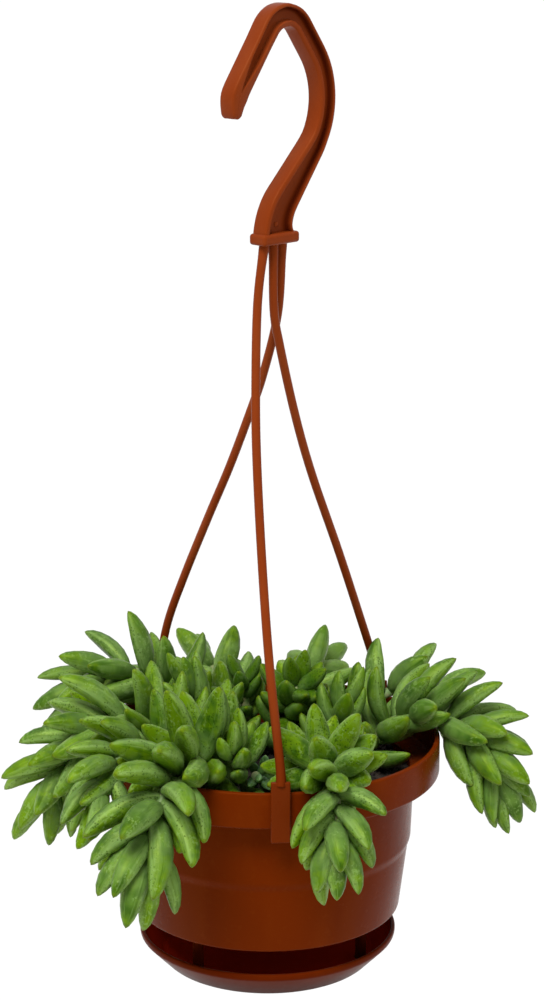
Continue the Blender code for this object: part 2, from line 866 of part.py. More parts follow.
def hanger_balls():
    """Balls along the legs and clips, as (x, y, z, radius) rows."""
    rows = []
    for name, angle in CLIP_ANGLES.items():
        for place in even_route(leg_route(name), 1.5):
            rows.append((*place, LEG_RADIUS))
        x, y = polar(angle, CLIP_MIDDLE)
        side_x, side_y = polar(angle + 90.0, CLIP_BALL_OFFSET)
        for z in np.arange(CLIP_BOTTOM, CLIP_TOP + CLIP_BALL_RADIUS, CLIP_BALL_RADIUS):
            rows.append((x + side_x, y + side_y, z, CLIP_BALL_RADIUS))
            rows.append((x - side_x, y - side_y, z, CLIP_BALL_RADIUS))
    return np.array(rows)


def clearance(places, radii, balls):
    """Least gap between the places' balls and the others; an empty list is far away."""
    if not len(balls):
        return np.inf
    apart = np.linalg.norm(places[:, None, :] - balls[None, :, :3], axis=2)
    return float((apart - radii[:, None] - balls[None, :, 3]).min())


def leaf_choices(root_at, tangent, side, splay, curl, length, width):
    """Every allowed variation of one leaf, the least changed first, with its probes' radii."""
    for size in SIZE_TRIES:
        for turn in TURN_TRIES:
            for lean in SPLAY_TRIES:
                cost = SIZE_COST * (1.0 - size) + TURN_COST * abs(turn) + LEAN_COST * abs(lean)
                swing = math.radians(turn)
                turned_side = math.cos(swing) * side + math.sin(swing) * np.cross(tangent, side)
                angle = math.radians(min(max(splay + lean, SPLAY_LIMITS[0]), SPLAY_LIMITS[1]))
                axes = leaf_axes(tangent, turned_side, angle)
                root = root_at + LEAF_OFFSET * turned_side
                curled = curl[0] * axes[2] + curl[1] * axes[1]
                radii = width * size / 2 * np.array(PROBE_RADII)
                yield cost, Leaf(root, axes, curled, length * size, width * size), radii


def grow_leaves(stem, curve, foreign):
    """Leaves set by the golden angle, each turned, leant or shortened until it clears its neighbours."""
    draw = np.random.default_rng(stem.seed)
    tangents, normals, _ = carried_frames(curve)
    along = np.concatenate([[0.0], np.cumsum(np.linalg.norm(np.diff(curve, axis=0), axis=1))])
    bare = np.interp(STEM_RISE_Z[0] + FIRST_LEAF_RISE, curve[:8, 2], along[:8])
    own = np.empty((0, 4))
    leaves = []
    start = draw.uniform(0.0, math.tau)
    for i in range(stem.leaves):
        part = i / (stem.leaves - 1)
        place = bare + (along[-1] - bare) * part**CROWDING
        root_at = np.array([np.interp(place, along, curve[:, k]) for k in range(3)])
        tangent = np.array([np.interp(place, along, tangents[:, k]) for k in range(3)])
        tangent /= np.linalg.norm(tangent)
        normal = np.array([np.interp(place, along, normals[:, k]) for k in range(3)])
        normal -= tangent * normal.dot(tangent)
        normal /= np.linalg.norm(normal)
        around = start + i * GOLDEN_ANGLE + draw.normal(0.0, TURN_SPREAD)
        side = math.cos(around) * normal + math.sin(around) * np.cross(tangent, normal)
        near_tip = part**3
        lean = draw.normal(0.0, SPLAY_SPREAD)
        splay = stem.splay[0] + (stem.splay[1] - stem.splay[0]) * near_tip + lean
        length = stem.length * draw.uniform(*LENGTH_RANGE) * (1.0 - TIP_SHORTENS * near_tip)
        width = stem.width * draw.uniform(*WIDTH_RANGE) * (1.0 - TIP_NARROWS_LEAF * near_tip)
        curl = (stem.bend * draw.uniform(*BEND_RANGE), draw.normal(0.0, SWAY))
        best = None
        choices = leaf_choices(root_at, tangent, side, splay, curl, length, width)
        for cost, leaf, radii in choices:
            if best is not None and cost >= best[0]:
                continue
            places = probe_places(leaf)
            if (pot_distance(places) - radii).min() < LEAF_GAP:
                continue
            if clearance(places, radii, foreign) < LEAF_GAP:
                continue
            pressed = max(0.0, -PRESS_ALLOWED - clearance(places[1:], radii[1:], own))
            full_cost = cost + PRESS_COST * pressed
            if best is None or full_cost < best[0]:
                best = (full_cost, leaf, places, radii)
        if best is None or best[0] > COST_LIMIT:
            continue
        _, leaf, places, radii = best
        leaves.append(leaf)
        own = np.vstack([own, np.column_stack([places, radii])[1:]])
    return leaves


def grow_plant():
    """Every stem's curve and leaves. Each stem keeps clear of the others, the pot and the hanger."""
    curves = {stem.name: stem_curve(stem) for stem in STEMS}
    tubes = {}
    for name, curve in curves.items():
        tubes[name] = np.column_stack([curve, np.full(len(curve), STEM_RADIUS)])
    fixed = hanger_balls()
    grown = {}
    balls = {}
    for stem in STEMS:
        others = [tubes[name] for name in tubes if name != stem.name]
        foreign = np.vstack([fixed, *others, *balls.values()])
        grown[stem.name] = grow_leaves(stem, curves[stem.name], foreign)
        rows = []
        for leaf in grown[stem.name]:
            rows.append(np.column_stack([probe_places(leaf), leaf.width / 2 * np.array(PROBE_RADII)]))
        balls[stem.name] = np.vstack(rows)
    return curves, grown


def leaf_object(leaf, finish):
    """One plump leaf with few sides, pointed at its tip and at its root inside the stem."""
    ahead, across, upwards = leaf.axes
    bend = leaf.curl.dot(upwards)
    points = [leaf.root]
    for t, size in LEAF_PROFILE:
        centre = leaf_centre(leaf, t)
        half = leaf.width / 2 * size
        tilted = upwards - 2.0 * bend * t * ahead
        for i in range(LEAF_SIDES):
            angle = math.tau * i / LEAF_SIDES - math.pi / 2
            thick = LEAF_THICKNESS * math.sin(angle)
            points.append(centre + half * (math.cos(angle) * across + thick * tilted))
    points.append(leaf_centre(leaf, 1.0))
    tip = len(points) - 1
    last = tip - LEAF_SIDES
    faces = []
    for i in range(LEAF_SIDES):
        j = (i + 1) % LEAF_SIDES
        faces.append((0, 1 + i, 1 + j))
        for row in range(1, last, LEAF_SIDES):
            next_row = row + LEAF_SIDES
            faces.append((row + i, next_row + i, next_row + j, row + j))
        faces.append((last + i, tip, last + j))
    made = object_of("leaf", points, faces, finish)
    clean_normals(made)
    return made


def make_stem(stem, curve, leaves, finish):
    """A stem and its leaves as one body."""
    spaced = spaced_along(curve, STEM_POINT_SPACING)
    made = swept(stem.name, tube_rings(spaced, STEM_RADIUS, STEM_SIDES, STEM_END_TAPER), finish)
    joined(made, [leaf_object(leaf, finish) for leaf in leaves], solver="MANIFOLD")
    keep_largest_shell(made)
    return made


def main():
    for old in list(bpy.data.objects):
        bpy.data.objects.remove(old)
    plastic = terracotta()
    flesh = leaf_flesh()
    pieces = [make_pot(plastic), make_saucer(plastic), make_hanger(hanger_plastic())]
    pieces.append(make_soil(potting_soil()))
    curves, grown = grow_plant()
    for stem in STEMS:
        pieces.append(make_stem(stem, curves[stem.name], grown[stem.name], flesh))
    pot_axis = bpy.data.objects.new("pot_axis", None)
    bpy.context.scene.collection.objects.link(pot_axis)
    pot_axis.location = Vector(hook_crown()) * -MM
    for piece in pieces:
        piece.parent = pot_axis


if __name__ == "__main__":
    main()
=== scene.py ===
"""The look of a burro's tail in a plastic hanging pot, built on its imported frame.

Sizes are in millimetres about the pot's axis, with z zero on the rim's top, and are scaled to
metres about the hook's inner crown as the meshes are made, which is the frame of the solids.
"""

import logging
import math
from collections.abc import Iterator, Sequence
from dataclasses import dataclass
from enum import Enum
from itertools import product

import bmesh
import bpy
import numpy as np
from mathutils import Matrix, Vector


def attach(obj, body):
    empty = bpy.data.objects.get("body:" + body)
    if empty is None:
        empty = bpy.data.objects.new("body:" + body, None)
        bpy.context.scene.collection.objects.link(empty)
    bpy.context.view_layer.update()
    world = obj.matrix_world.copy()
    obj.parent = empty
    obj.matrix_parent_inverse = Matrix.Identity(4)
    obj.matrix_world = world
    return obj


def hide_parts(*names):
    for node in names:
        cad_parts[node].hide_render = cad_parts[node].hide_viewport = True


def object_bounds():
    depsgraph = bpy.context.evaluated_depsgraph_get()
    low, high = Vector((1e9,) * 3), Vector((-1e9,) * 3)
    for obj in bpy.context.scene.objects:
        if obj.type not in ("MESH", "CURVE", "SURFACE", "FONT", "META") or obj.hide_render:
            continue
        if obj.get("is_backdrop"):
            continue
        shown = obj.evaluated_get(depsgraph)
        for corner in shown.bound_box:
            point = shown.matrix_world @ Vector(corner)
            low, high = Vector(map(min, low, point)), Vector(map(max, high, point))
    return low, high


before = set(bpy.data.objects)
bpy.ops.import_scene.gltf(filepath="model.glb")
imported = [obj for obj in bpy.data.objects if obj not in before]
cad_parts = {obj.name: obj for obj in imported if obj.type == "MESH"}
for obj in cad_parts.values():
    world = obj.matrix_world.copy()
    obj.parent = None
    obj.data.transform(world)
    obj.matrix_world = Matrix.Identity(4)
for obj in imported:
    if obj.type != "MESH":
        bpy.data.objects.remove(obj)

logging.basicConfig(level=logging.INFO, format="%(message)s")
log = logging.getLogger("burros_tail")

Object = bpy.types.Object
Material = bpy.types.Material
Node = bpy.types.Node
Socket = bpy.types.NodeSocket
Tree = bpy.types.NodeTree
Colour = tuple[float, float, float]
Place = tuple[float, float, float]
Row = tuple[float, float]

MM = 0.001
GAP = 0.3
GOLDEN_ANGLE = math.radians(137.5)
SHARP_ANGLE = math.radians(38.0)
MERGE_WITHIN = 1e-6
BEVEL_RUNS = 4


class Slot(Enum):
    """The record's material slots."""

    POT = "pot_plastic"
    HANGER = "hanger_plastic"
    SOIL = "potting_soil"
    LEAF = "leaf"
    YOUNG_LEAF = "leaf_new"


class Side(Enum):
    """The hanger's three legs, each with its angle round the rim in degrees from the front."""

    FRONT = 4.0
    RIGHT = 138.0
    LEFT = -138.0


def rgba(value: object) -> object:
    """Adds a full alpha to a plain colour, and passes a socket through."""
    return (*value, 1.0) if isinstance(value, tuple) else value


def spaced_names(values: dict[str, object]) -> dict[str, object]:
    """The same values, with spaces for the underscores in their names."""
    return {name.replace("_", " "): value for name, value in values.items()}


class Graph:
    """A node tree under construction, with one short call for each node."""

    def __init__(self, tree: Tree) -> None:
        """Keeps the tree that the nodes go into."""
        self.tree = tree

    def node(self, kind: str, inputs: dict | None = None, **settings: object) -> Node:
        """Adds a node.

        Args:
            kind: The node's type name.
            inputs: Values or sockets by input name or number.
            settings: The node's own settings.

        Returns:
            The new node.
        """
        made = self.tree.nodes.new(kind)
        for key, value in settings.items():
            setattr(made, key, value)
        return self.fill(made, inputs or {})

    def fill(self, node: Node, inputs: dict) -> Node:
        """Fills a node's inputs.

        Args:
            node: The node.
            inputs: Sockets to link in, or plain values, by input name or number.

        Returns:
            The same node.
        """
        for key, value in inputs.items():
            if isinstance(value, Socket):
                self.tree.links.new(value, node.inputs[key])
            else:
                node.inputs[key].default_value = value
        return node

    def math(self, operation: str, *values: object) -> Socket:
        """One Math node's result for the values."""
        return self.node("ShaderNodeMath", dict(enumerate(values)), operation=operation).outputs[0]

    def times(self, first: object, second: object) -> Socket:
        """The product of two values."""
        return self.math("MULTIPLY", first, second)

    def plus(self, first: object, second: object) -> Socket:
        """The sum of two values."""
        return self.math("ADD", first, second)

    def line(self, value: object, factor: float, start: object) -> Socket:
        """The value times a factor, on top of a start."""
        return self.math("MULTIPLY_ADD", value, factor, start)

    def vector(self, operation: str, *values: object) -> Socket:
        """One Vector Math node's result; a plain number scales the vector."""
        keys = (0, "Scale") if operation == "SCALE" else (0, 1)
        return self.node("ShaderNodeVectorMath", dict(zip(keys, values)), operation=operation).outputs[0]

    def ease(self, value: object, low: float, high: float) -> Socket:
        """Rises smoothly from 0 at low to 1 at high, or falls where low is above high."""
        inputs = {0: value, 1: min(low, high), 2: max(low, high), 3: float(low > high), 4: float(low < high)}
        return self.node("ShaderNodeMapRange", inputs, interpolation_type="SMOOTHSTEP").outputs[0]

    def noise(self, place: Socket, scale: object, detail: float) -> Socket:
        """A Noise Texture's value, near 0.5 on average."""
        return self.node("ShaderNodeTexNoise", {"Vector": place, "Scale": scale, "Detail": detail}).outputs[0]


class PaintGraph(Graph):
    """A material's tree, which ends in its Principled shader."""

    def __init__(self, name: str) -> None:
        """Starts a new material.

        Args:
            name: The material's name.
        """
        self.material = bpy.data.materials.new(name)
        self.material.use_nodes = True
        super().__init__(self.material.node_tree)

    def place(self) -> Socket:
        """The place on the piece, in its own coordinates."""
        return self.node("ShaderNodeTexCoord").outputs["Object"]

    def attribute(self, name: str) -> Socket:
        """One of the mesh's own attributes, as a number."""
        return self.node("ShaderNodeAttribute", attribute_name=name).outputs["Fac"]

    def blend(self, share: object, first: object, second: object) -> Socket:
        """Mixes two colours, the second by its share."""
        inputs = {0: share, 6: rgba(first), 7: rgba(second)}
        return self.node("ShaderNodeMix", inputs, data_type="RGBA").outputs[2]

    def layer(self, tone: object, colour: Colour, share: float, *mask: object) -> Socket:
        """Lays a share of a colour over a tone, by a mask or by a value eased between two ends."""
        full = mask[0] if len(mask) == 1 else self.ease(*mask)
        return self.blend(self.times(full, share), tone, colour)

    def bump(self, height: Socket, strength: float, distance: float) -> Socket:
        """A normal that follows a height."""
        inputs = {"Height": height, "Strength": strength, "Distance": distance}
        return self.node("ShaderNodeBump", inputs).outputs[0]

    def finished(self, **inputs: object) -> Material:
        """The material, with its shader's inputs filled; underscores stand for spaces."""
        self.fill(self.tree.nodes["Principled BSDF"], spaced_names(inputs))
        return self.material


class ShapeGraph(Graph):
    """A geometry tree with named inputs."""

    def __init__(self, name: str, **kinds: str) -> None:
        """Makes the tree.

        Args:
            name: The tree's name.
            kinds: The kind of socket for each input after the geometry, by its name.
        """
        super().__init__(bpy.data.node_groups.new(name, "GeometryNodeTree"))
        face = self.tree.interface
        for label, kind in {"Geometry": "Geometry", **spaced_names(kinds)}.items():
            face.new_socket(label, in_out="INPUT", socket_type=f"NodeSocket{kind}")
        face.new_socket("Geometry", in_out="OUTPUT", socket_type="NodeSocketGeometry")
        self.given = self.node("NodeGroupInput").outputs

    def step(self, kind: str, **inputs: object) -> Socket:
        """The first result of a geometry node; underscores stand for spaces."""
        return self.node(f"GeometryNode{kind}", spaced_names(inputs)).outputs[0]

    def carried(self, name: str, kind: str = "FLOAT") -> Socket:
        """An attribute that the geometry carries."""
        return self.node("GeometryNodeInputNamedAttribute", {"Name": name}, data_type=kind).outputs[0]

    def function(self, kind: str, inputs: dict, result: int = 0, **settings: object) -> Socket:
        """One result of a function node."""
        return self.node(f"FunctionNode{kind}", inputs, **settings).outputs[result]

    def shape_of(self, name: str) -> Socket:
        """The mesh of an object that is one of the tree's inputs."""
        return self.node("GeometryNodeObjectInfo", {"Object": self.given[name]}).outputs["Geometry"]

    def joined(self, first: Socket, second: Socket) -> Socket:
        """Two shapes as one."""
        return self.fill(self.node("GeometryNodeJoinGeometry", {0: first}), {0: second}).outputs[0]

    def dressed(self, shape: Socket, finish: str) -> Socket:
        """The shape, smooth, realized and in the finish that the tree is given under a name."""
        real = self.step("RealizeInstances", Geometry=self.step("SetShadeSmooth", Geometry=shape))
        return self.step("SetMaterial", Geometry=real, Material=self.given[finish])

    def ended(self, shape: Socket) -> Tree:
        """The tree, with the shape as its result."""
        self.node("NodeGroupOutput", {0: shape})
        return self.tree


@dataclass(frozen=True)
class MouldedPlastic:
    """Satin moulded plastic: nearly even colour, faint flow marks and a very fine pebbled skin.

    The low colour is painted shade below a given height; the second painted colour goes where a mesh is
    marked with shade.
    """

    name: str
    colour: Colour
    pale: Colour
    glint: Colour
    roughness: float
    gloss: float
    # Painted shade, laid over the piece below a given height.
    low: Colour = (0.0, 0.0, 0.0)
    low_shade_z: Row = (-0.34, -0.33)
    # Painted where a mesh is marked with shade: painted shade in the hook's groove, a painted red glow in the
    # saucer.
    painted_shade_and_glow: Colour = (0.0, 0.0, 0.0)

    def material(self) -> Material:
        """Builds the material.

        Returns:
            The material.
        """
        paint = PaintGraph(self.name)
        place = paint.place()
        flow = paint.noise(paint.vector("MULTIPLY", place, (1.0, 1.0, 0.25)), 60.0, 3.0)
        scuff = paint.noise(place, 340.0, 4.0)
        pale = paint.times(paint.ease(flow, 0.42, 0.72), 0.45)
        worn = paint.times(paint.ease(scuff, 0.6, 0.78), 0.22)
        tone = paint.blend(paint.plus(pale, worn), self.colour, self.pale)
        height = paint.node("ShaderNodeSeparateXYZ", {0: place}).outputs[2]
        # Painted shade below a given height.
        tone = paint.blend(paint.ease(height, *self.low_shade_z), self.low, tone)
        # The mark for the painted shade and glow colour, which also takes the gloss away.
        shade = paint.attribute("shade")
        relief = paint.line(paint.noise(place, 150.0, 1.0), 3.0, paint.noise(place, 2600.0, 2.0))
        return paint.finished(
            Base_Color=paint.layer(tone, self.painted_shade_and_glow, 0.8, shade),
            Roughness=paint.line(scuff, 0.14, self.roughness - 0.07),
            Specular_IOR_Level=paint.times(paint.math("SUBTRACT", 1.0, shade), self.gloss),
            Specular_Tint=rgba(self.glint),
            Normal=paint.bump(relief, 0.12, 0.0002),
        )


@dataclass(frozen=True)
class LeafSkin:
    """Waxy leaf skin: bloomed green, a yellow-green flush, pale margins painted as a rim highlight, mottling,
    dark specks and painted shade.
    """

    name: str
    deep: Colour
    body: Colour
    bloom_and_rim_highlight: Colour
    flush: Colour
    speck: Colour
    tip: Colour
    glint: Colour

    def material(self) -> Material:
        """Builds the material from the leaf's own attributes and its place.

        Returns:
            The material.
        """
        paint = PaintGraph(self.name)
        place = paint.place()
        along, margin, upper, tint = (paint.attribute(name) for name in ("along", "margin", "upper", "tint"))
        patches = paint.noise(place, 300.0, 4.0)
        tone = paint.blend(paint.ease(paint.noise(place, 130.0, 3.0), 0.36, 0.64), self.deep, self.body)
        sides = paint.times(paint.ease(upper, 0.5, -0.6), paint.ease(along, 0.95, 0.3))
        root = paint.ease(along, 0.5, 0.1)
        frost = paint.math("MAXIMUM", paint.times(sides, 0.62), paint.times(root, 0.8))
        tone = paint.layer(tone, self.bloom_and_rim_highlight, 0.62, frost)
        warm = paint.plus(paint.times(along, 0.36), paint.times(patches, 0.95))
        warm = paint.plus(warm, paint.times(tint, 0.3))
        warm = paint.plus(warm, paint.times(upper, 0.12))
        tone = paint.layer(tone, self.flush, 0.85, warm, 0.66, 1.05)
        # Painted rim highlight: pale along each leaf's edges.
        tone = paint.layer(tone, self.bloom_and_rim_highlight, 0.7, paint.math("POWER", margin, 8.0))
        streaks = self.streaks(paint, along, margin, upper, tint)
        tone = paint.layer(tone, self.bloom_and_rim_highlight, 0.3, streaks, 0.5, 0.7)
        tone = paint.layer(tone, self.deep, 0.42, streaks, 0.47, 0.31)
        tone = paint.layer(tone, self.bloom_and_rim_highlight, 0.5, self.mottle(paint, place))
        # Painted shade on the leaves of stems that sit deep in the pot.
        tone = paint.layer(tone, self.deep, 0.9, paint.attribute("dark"))
        specks = paint.times(self.specks(paint, place, along), paint.ease(upper, -0.75, 0.1))
        tone = paint.layer(tone, self.speck, 0.62, specks)
        dents = paint.times(paint.noise(place, 700.0, 3.0), 0.6)
        height = paint.math("SUBTRACT", dents, paint.times(specks, 0.25))
        return paint.finished(
            Base_Color=paint.layer(tone, self.tip, 0.7, along, 0.93, 1.0),
            Roughness=paint.line(patches, 0.22, 0.34),
            Specular_IOR_Level=0.34,
            Specular_Tint=rgba(self.glint),
            Subsurface_Weight=0.22,
            Subsurface_Radius=(0.45, 1.0, 0.12),
            Subsurface_Scale=0.0018,
            Normal=paint.bump(height, 0.3, 0.0003),
        )

    def streaks(
        self, paint: PaintGraph, along: Socket, margin: Socket, upper: Socket, tint: Socket
    ) -> Socket:
        """Soft streaks that run lengthwise and differ from leaf to leaf."""
        spot = {0: paint.plus(margin, paint.times(tint, 40.0)), 1: upper, 2: paint.times(along, 0.9)}
        return paint.noise(paint.node("ShaderNodeCombineXYZ", spot).outputs[0], 4.5, 4.0)

    def specks(self, paint: PaintGraph, place: Socket, along: Socket) -> Socket:
        """Fine dark specks of mixed sizes, dense in some places, most of all near the tip.

        Args:
            paint: The tree.
            place: The place on the piece.
            along: The share of the leaf's length.

        Returns:
            A mask from 0 to 1.
        """
        cells = paint.node("ShaderNodeTexVoronoi", {"Vector": place, "Scale": 1250.0})
        drawn = paint.node("ShaderNodeSeparateColor", {0: cells.outputs["Color"]}).outputs
        size = paint.line(drawn[1], 0.28, 0.22)
        dots = paint.ease(paint.math("SUBTRACT", cells.outputs["Distance"], size), 0.08, -0.12)
        where = paint.ease(paint.noise(place, 190.0, 3.0), 0.4, 0.62)
        share = paint.times(where, paint.line(along, 0.4, 0.5))
        return paint.times(dots, paint.ease(paint.plus(drawn[0], share), 0.86, 0.94))

    def mottle(self, paint: PaintGraph, place: Socket) -> Socket:
        """Pale blotches between the specks."""
        blotch = paint.ease(paint.noise(place, 900.0, 4.0), 0.52, 0.62)
        return paint.times(blotch, paint.ease(paint.noise(place, 150.0, 2.0), 0.46, 0.6))


@dataclass(frozen=True)
class StemSkin:
    """The stem's pale green skin between the leaves."""

    name: str
    green: Colour
    straw: Colour

    def material(self) -> Material:
        """Builds the material.

        Returns:
            The material.
        """
        paint = PaintGraph(self.name)
        streak = paint.noise(paint.place(), 420.0, 3.0)
        return paint.finished(
            Base_Color=paint.blend(paint.ease(streak, 0.4, 0.65), self.green, self.straw),
            Roughness=0.55,
            Normal=paint.bump(streak, 0.4, 0.0004),
        )


@dataclass(frozen=True)
class DampPeat:
    """Dark damp peat with paler fibres and small stones."""

    name: str
    dark: Colour
    brown: Colour
    fibre: Colour

    def material(self) -> Material:
        """Builds the material.

        Returns:
            The material.
        """
        paint = PaintGraph(self.name)
        place = paint.place()
        lumps = paint.noise(place, 320.0, 5.0)
        grains = paint.noise(place, 1400.0, 4.0)
        tone = paint.blend(paint.ease(lumps, 0.38, 0.68), self.dark, self.brown)
        return paint.finished(
            Base_Color=paint.layer(tone, self.fibre, 0.7, grains, 0.62, 0.74),
            Roughness=paint.line(lumps, 0.3, 0.68),
            Normal=paint.bump(paint.line(lumps, 2.0, grains), 0.9, 0.0008),
        )


POT_FINISH = MouldedPlastic(
    "terracotta_plastic",
    colour=(0.122, 0.0148, 0.0005),
    pale=(0.155, 0.0235, 0.0012),
    glint=(1.0, 0.42, 0.1),
    roughness=0.26,
    gloss=0.045,
)
SAUCER_FINISH = MouldedPlastic(
    "saucer_plastic",
    colour=(0.1, 0.0105, 0.0006),
    pale=(0.125, 0.0165, 0.001),
    glint=(1.0, 0.42, 0.1),
    roughness=0.32,
    gloss=0.03,
    # Painted shade: the saucer darkens towards its bottom.
    low=(0.03, 0.0045, 0.0005),
    low_shade_z=(-0.327, -0.314),
    # Painted glow: a bright red inside the dish, for light that comes through the plastic.
    painted_shade_and_glow=(0.32, 0.014, 0.002),
)
HANGER_FINISH = MouldedPlastic(
    "hanger_plastic",
    colour=(0.2, 0.031, 0.005),
    pale=(0.25, 0.05, 0.012),
    glint=(1.0, 0.5, 0.2),
    roughness=0.3,
    gloss=0.08,
    # Painted shade: the hanger darkens towards its clips.
    low=(0.13, 0.0175, 0.0015),
    low_shade_z=(-0.25, -0.2),
    # Painted shade in the hook's groove.
    painted_shade_and_glow=(0.035, 0.0015, 0.0),
)
STEM_FINISH = StemSkin("stem_skin", (0.16, 0.26, 0.08), (0.3, 0.3, 0.14))
PEAT_FINISH = DampPeat("damp_peat", (0.009, 0.006, 0.004), (0.032, 0.02, 0.012), (0.11, 0.075, 0.045))
LEAF_FINISH = LeafSkin(
    "leaf_skin",
    deep=(0.018, 0.07, 0.002),
    body=(0.071, 0.164, 0.012),
    bloom_and_rim_highlight=(0.24, 0.375, 0.11),
    flush=(0.128, 0.24, 0.001),
    speck=(0.01, 0.038, 0.001),
    tip=(0.1, 0.14, 0.003),
    glint=(0.8, 1.0, 0.12),
)
YOUNG_FINISH = LeafSkin(
    "young_leaf_skin",
    deep=(0.04, 0.13, 0.045),
    body=(0.09, 0.21, 0.085),
    bloom_and_rim_highlight=(0.2, 0.34, 0.19),
    flush=(0.13, 0.26, 0.05),
    speck=(0.04, 0.11, 0.03),
    tip=(0.14, 0.2, 0.06),
    glint=(0.8, 1.0, 0.7),
)


def placed(name: str, points: Sequence, faces: Sequence = (), edges: Sequence = ()) -> Object:
    """A mesh object in the scene.

    Args:
        name: The object's name.
        points: Places in metres about the frame's origin.
        faces: Corner numbers of each face.
        edges: Point numbers of each edge that no face has.

    Returns:
        The object, at the origin, with its place in its mesh.
    """
    mesh = bpy.data.meshes.new(name)
    mesh.from_pydata(points, edges, faces)
    made = bpy.data.objects.new(name, mesh)
    bpy.context.scene.collection.objects.link(made)
    return made


def from_rim(points: Sequence) -> list[Vector]:
    """Places in metres about the frame's origin, from millimetres about the pot's axis."""
    crown = Vector(HOOK.crown())
    return [(Vector(point) - crown) * MM for point in points]


def mark(made: Object, name: str, values: Sequence, kind: str = "FLOAT", domain: str = "POINT") -> None:
    """Gives a mesh an attribute, from a number or a vector for each of its points or faces."""
    key = "vector" if kind == "FLOAT_VECTOR" else "value"
    made.data.attributes.new(name, kind, domain).data.foreach_set(key, np.array(values, np.float32).ravel())


def face_outwards(made: Object) -> Object:
    """Merges a closed mesh's doubled points and turns every face outwards.

    Args:
        made: The object.

    Returns:
        The same object.
    """
    work = bmesh.new()
    work.from_mesh(made.data)
    bmesh.ops.remove_doubles(work, verts=work.verts, dist=MERGE_WITHIN)
    bmesh.ops.recalc_face_normals(work, faces=work.faces)
    work.to_mesh(made.data)
    work.free()
    return made


def moulded(name: str, points: Sequence, faces: Sequence, **marks: Sequence[float]) -> Object:
    """A closed piece, smooth but for its sharp edges.

    Args:
        name: The object's name.
        points: Places in millimetres about the pot's axis.
        faces: Corner numbers of each face.
        marks: A number for each point, by the name of its attribute.

    Returns:
        The object.
    """
    made = placed(name, from_rim(points), faces)
    for key, values in marks.items():
        mark(made, key, values)
    face_outwards(made)
    made.data.shade_smooth()
    made.data.set_sharp_from_angle(angle=SHARP_ANGLE)
    return made


def applied(made: Object) -> Object:
    """Turns an object's live modifiers into its plain mesh.

    Args:
        made: The object.

    Returns:
        The same object, with no modifier left.
    """
    graph = bpy.context.evaluated_depsgraph_get()
    live = made.evaluated_get(graph)
    mesh = bpy.data.meshes.new_from_object(live, preserve_all_data_layers=True, depsgraph=graph)
    made.modifiers.clear()
    made.data = mesh
    mesh.name = made.name
    return made


def grown(made: Object, tree: Tree, **inputs: object) -> Object:
    """Runs a geometry tree on an object and keeps the result as its plain mesh.

    Args:
        made: The object that the tree starts from.
        tree: The tree.
        inputs: A value for each named input of the tree; underscores stand for spaces.

    Returns:
        The same object, with no modifier left.
    """
    modifier = made.modifiers.new(tree.name, "NODES")
    modifier.node_group = tree
    named = spaced_names(inputs)
    for item in tree.interface.items_tree:
        if item.item_type == "SOCKET" and item.in_out == "INPUT" and item.name in named:
            modifier[item.identifier] = named[item.name]
    return applied(made)


def dressed(pieces: list[Object], finish: Material) -> list[Object]:
    """Gives pieces a finish in place of any other.

    Args:
        pieces: The pieces.
        finish: Their finish.

    Returns:
        The same pieces.
    """
    for piece in pieces:
        piece.data.materials.clear()
        piece.data.materials.append(finish)
    return pieces


def handed_over(made: Object, nodes: Sequence[str], slot: Slot) -> None:
    """Lets a finished piece ride on the frame in place of its solids, and reports it.

    Args:
        made: The finished piece.
        nodes: The solids that it stands for.
        slot: The material slot of its finish; not used.
    """
    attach(made, "root")
    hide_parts(*nodes)
    log.info("%s: %d faces", made.name, len(made.data.polygons))


def tube_tree() -> Tree:
    """A round tube along a line of points, which swells by the points' own attribute.

    Returns:
        The tree.
    """
    graph = ShapeGraph("tube_along_line", Radius="Float", Sides="Int", Finish="Material")
    given = graph.given
    line = graph.step("MeshToCurve", Mesh=given["Geometry"])
    ring = graph.step("CurvePrimitiveCircle", Resolution=given["Sides"], Radius=given["Radius"])
    swell = graph.carried("swell")
    tube = graph.step("CurveToMesh", Curve=line, Profile_Curve=ring, Scale=swell, Fill_Caps=True)
    return graph.ended(graph.dressed(tube, "Finish"))


def leaf_spray_tree() -> Tree:
    """A leaf on each point, turned, sized and bent by the point's attributes, with the stem between them.

    Returns:
        The tree.
    """
    kinds = {"Dimple_Depth": "Float", "Dimple_Scale": "Float", "Leaf_Finish": "Material"}
    graph = ShapeGraph("leaf_spray", Leaf="Object", Stem="Object", **kinds)
    given = graph.given
    lies = ("turn", "size", "curl", "tilt")
    turn, size, curl, tilt = (graph.carried(name, "FLOAT_VECTOR") for name in lies)
    turn = graph.function("EulerToRotation", {0: turn})
    leaf = graph.shape_of("Leaf")
    spray = graph.step("InstanceOnPoints", Points=given["Geometry"], Instance=leaf, Rotation=turn, Scale=size)
    real = graph.step("RealizeInstances", Geometry=spray)
    along = graph.carried("along")
    curled = graph.vector("SCALE", curl, graph.math("POWER", along, 2.0))
    tilted = graph.vector("SCALE", tilt, graph.times(along, graph.carried("lift")))
    curved = graph.step("SetPosition", Geometry=real, Offset=graph.vector("ADD", curled, tilted))
    cloud = graph.noise(graph.step("InputPosition"), given["Dimple Scale"], 1.0)
    depth = graph.times(graph.math("SUBTRACT", cloud, 0.5), given["Dimple Depth"])
    body = graph.ease(along, 1.0, 0.8)
    push = graph.vector("SCALE", graph.step("InputNormal"), graph.times(depth, body))
    dimpled = graph.step("SetPosition", Geometry=curved, Offset=push)
    return graph.ended(graph.joined(graph.dressed(dimpled, "Leaf Finish"), graph.shape_of("Stem")))


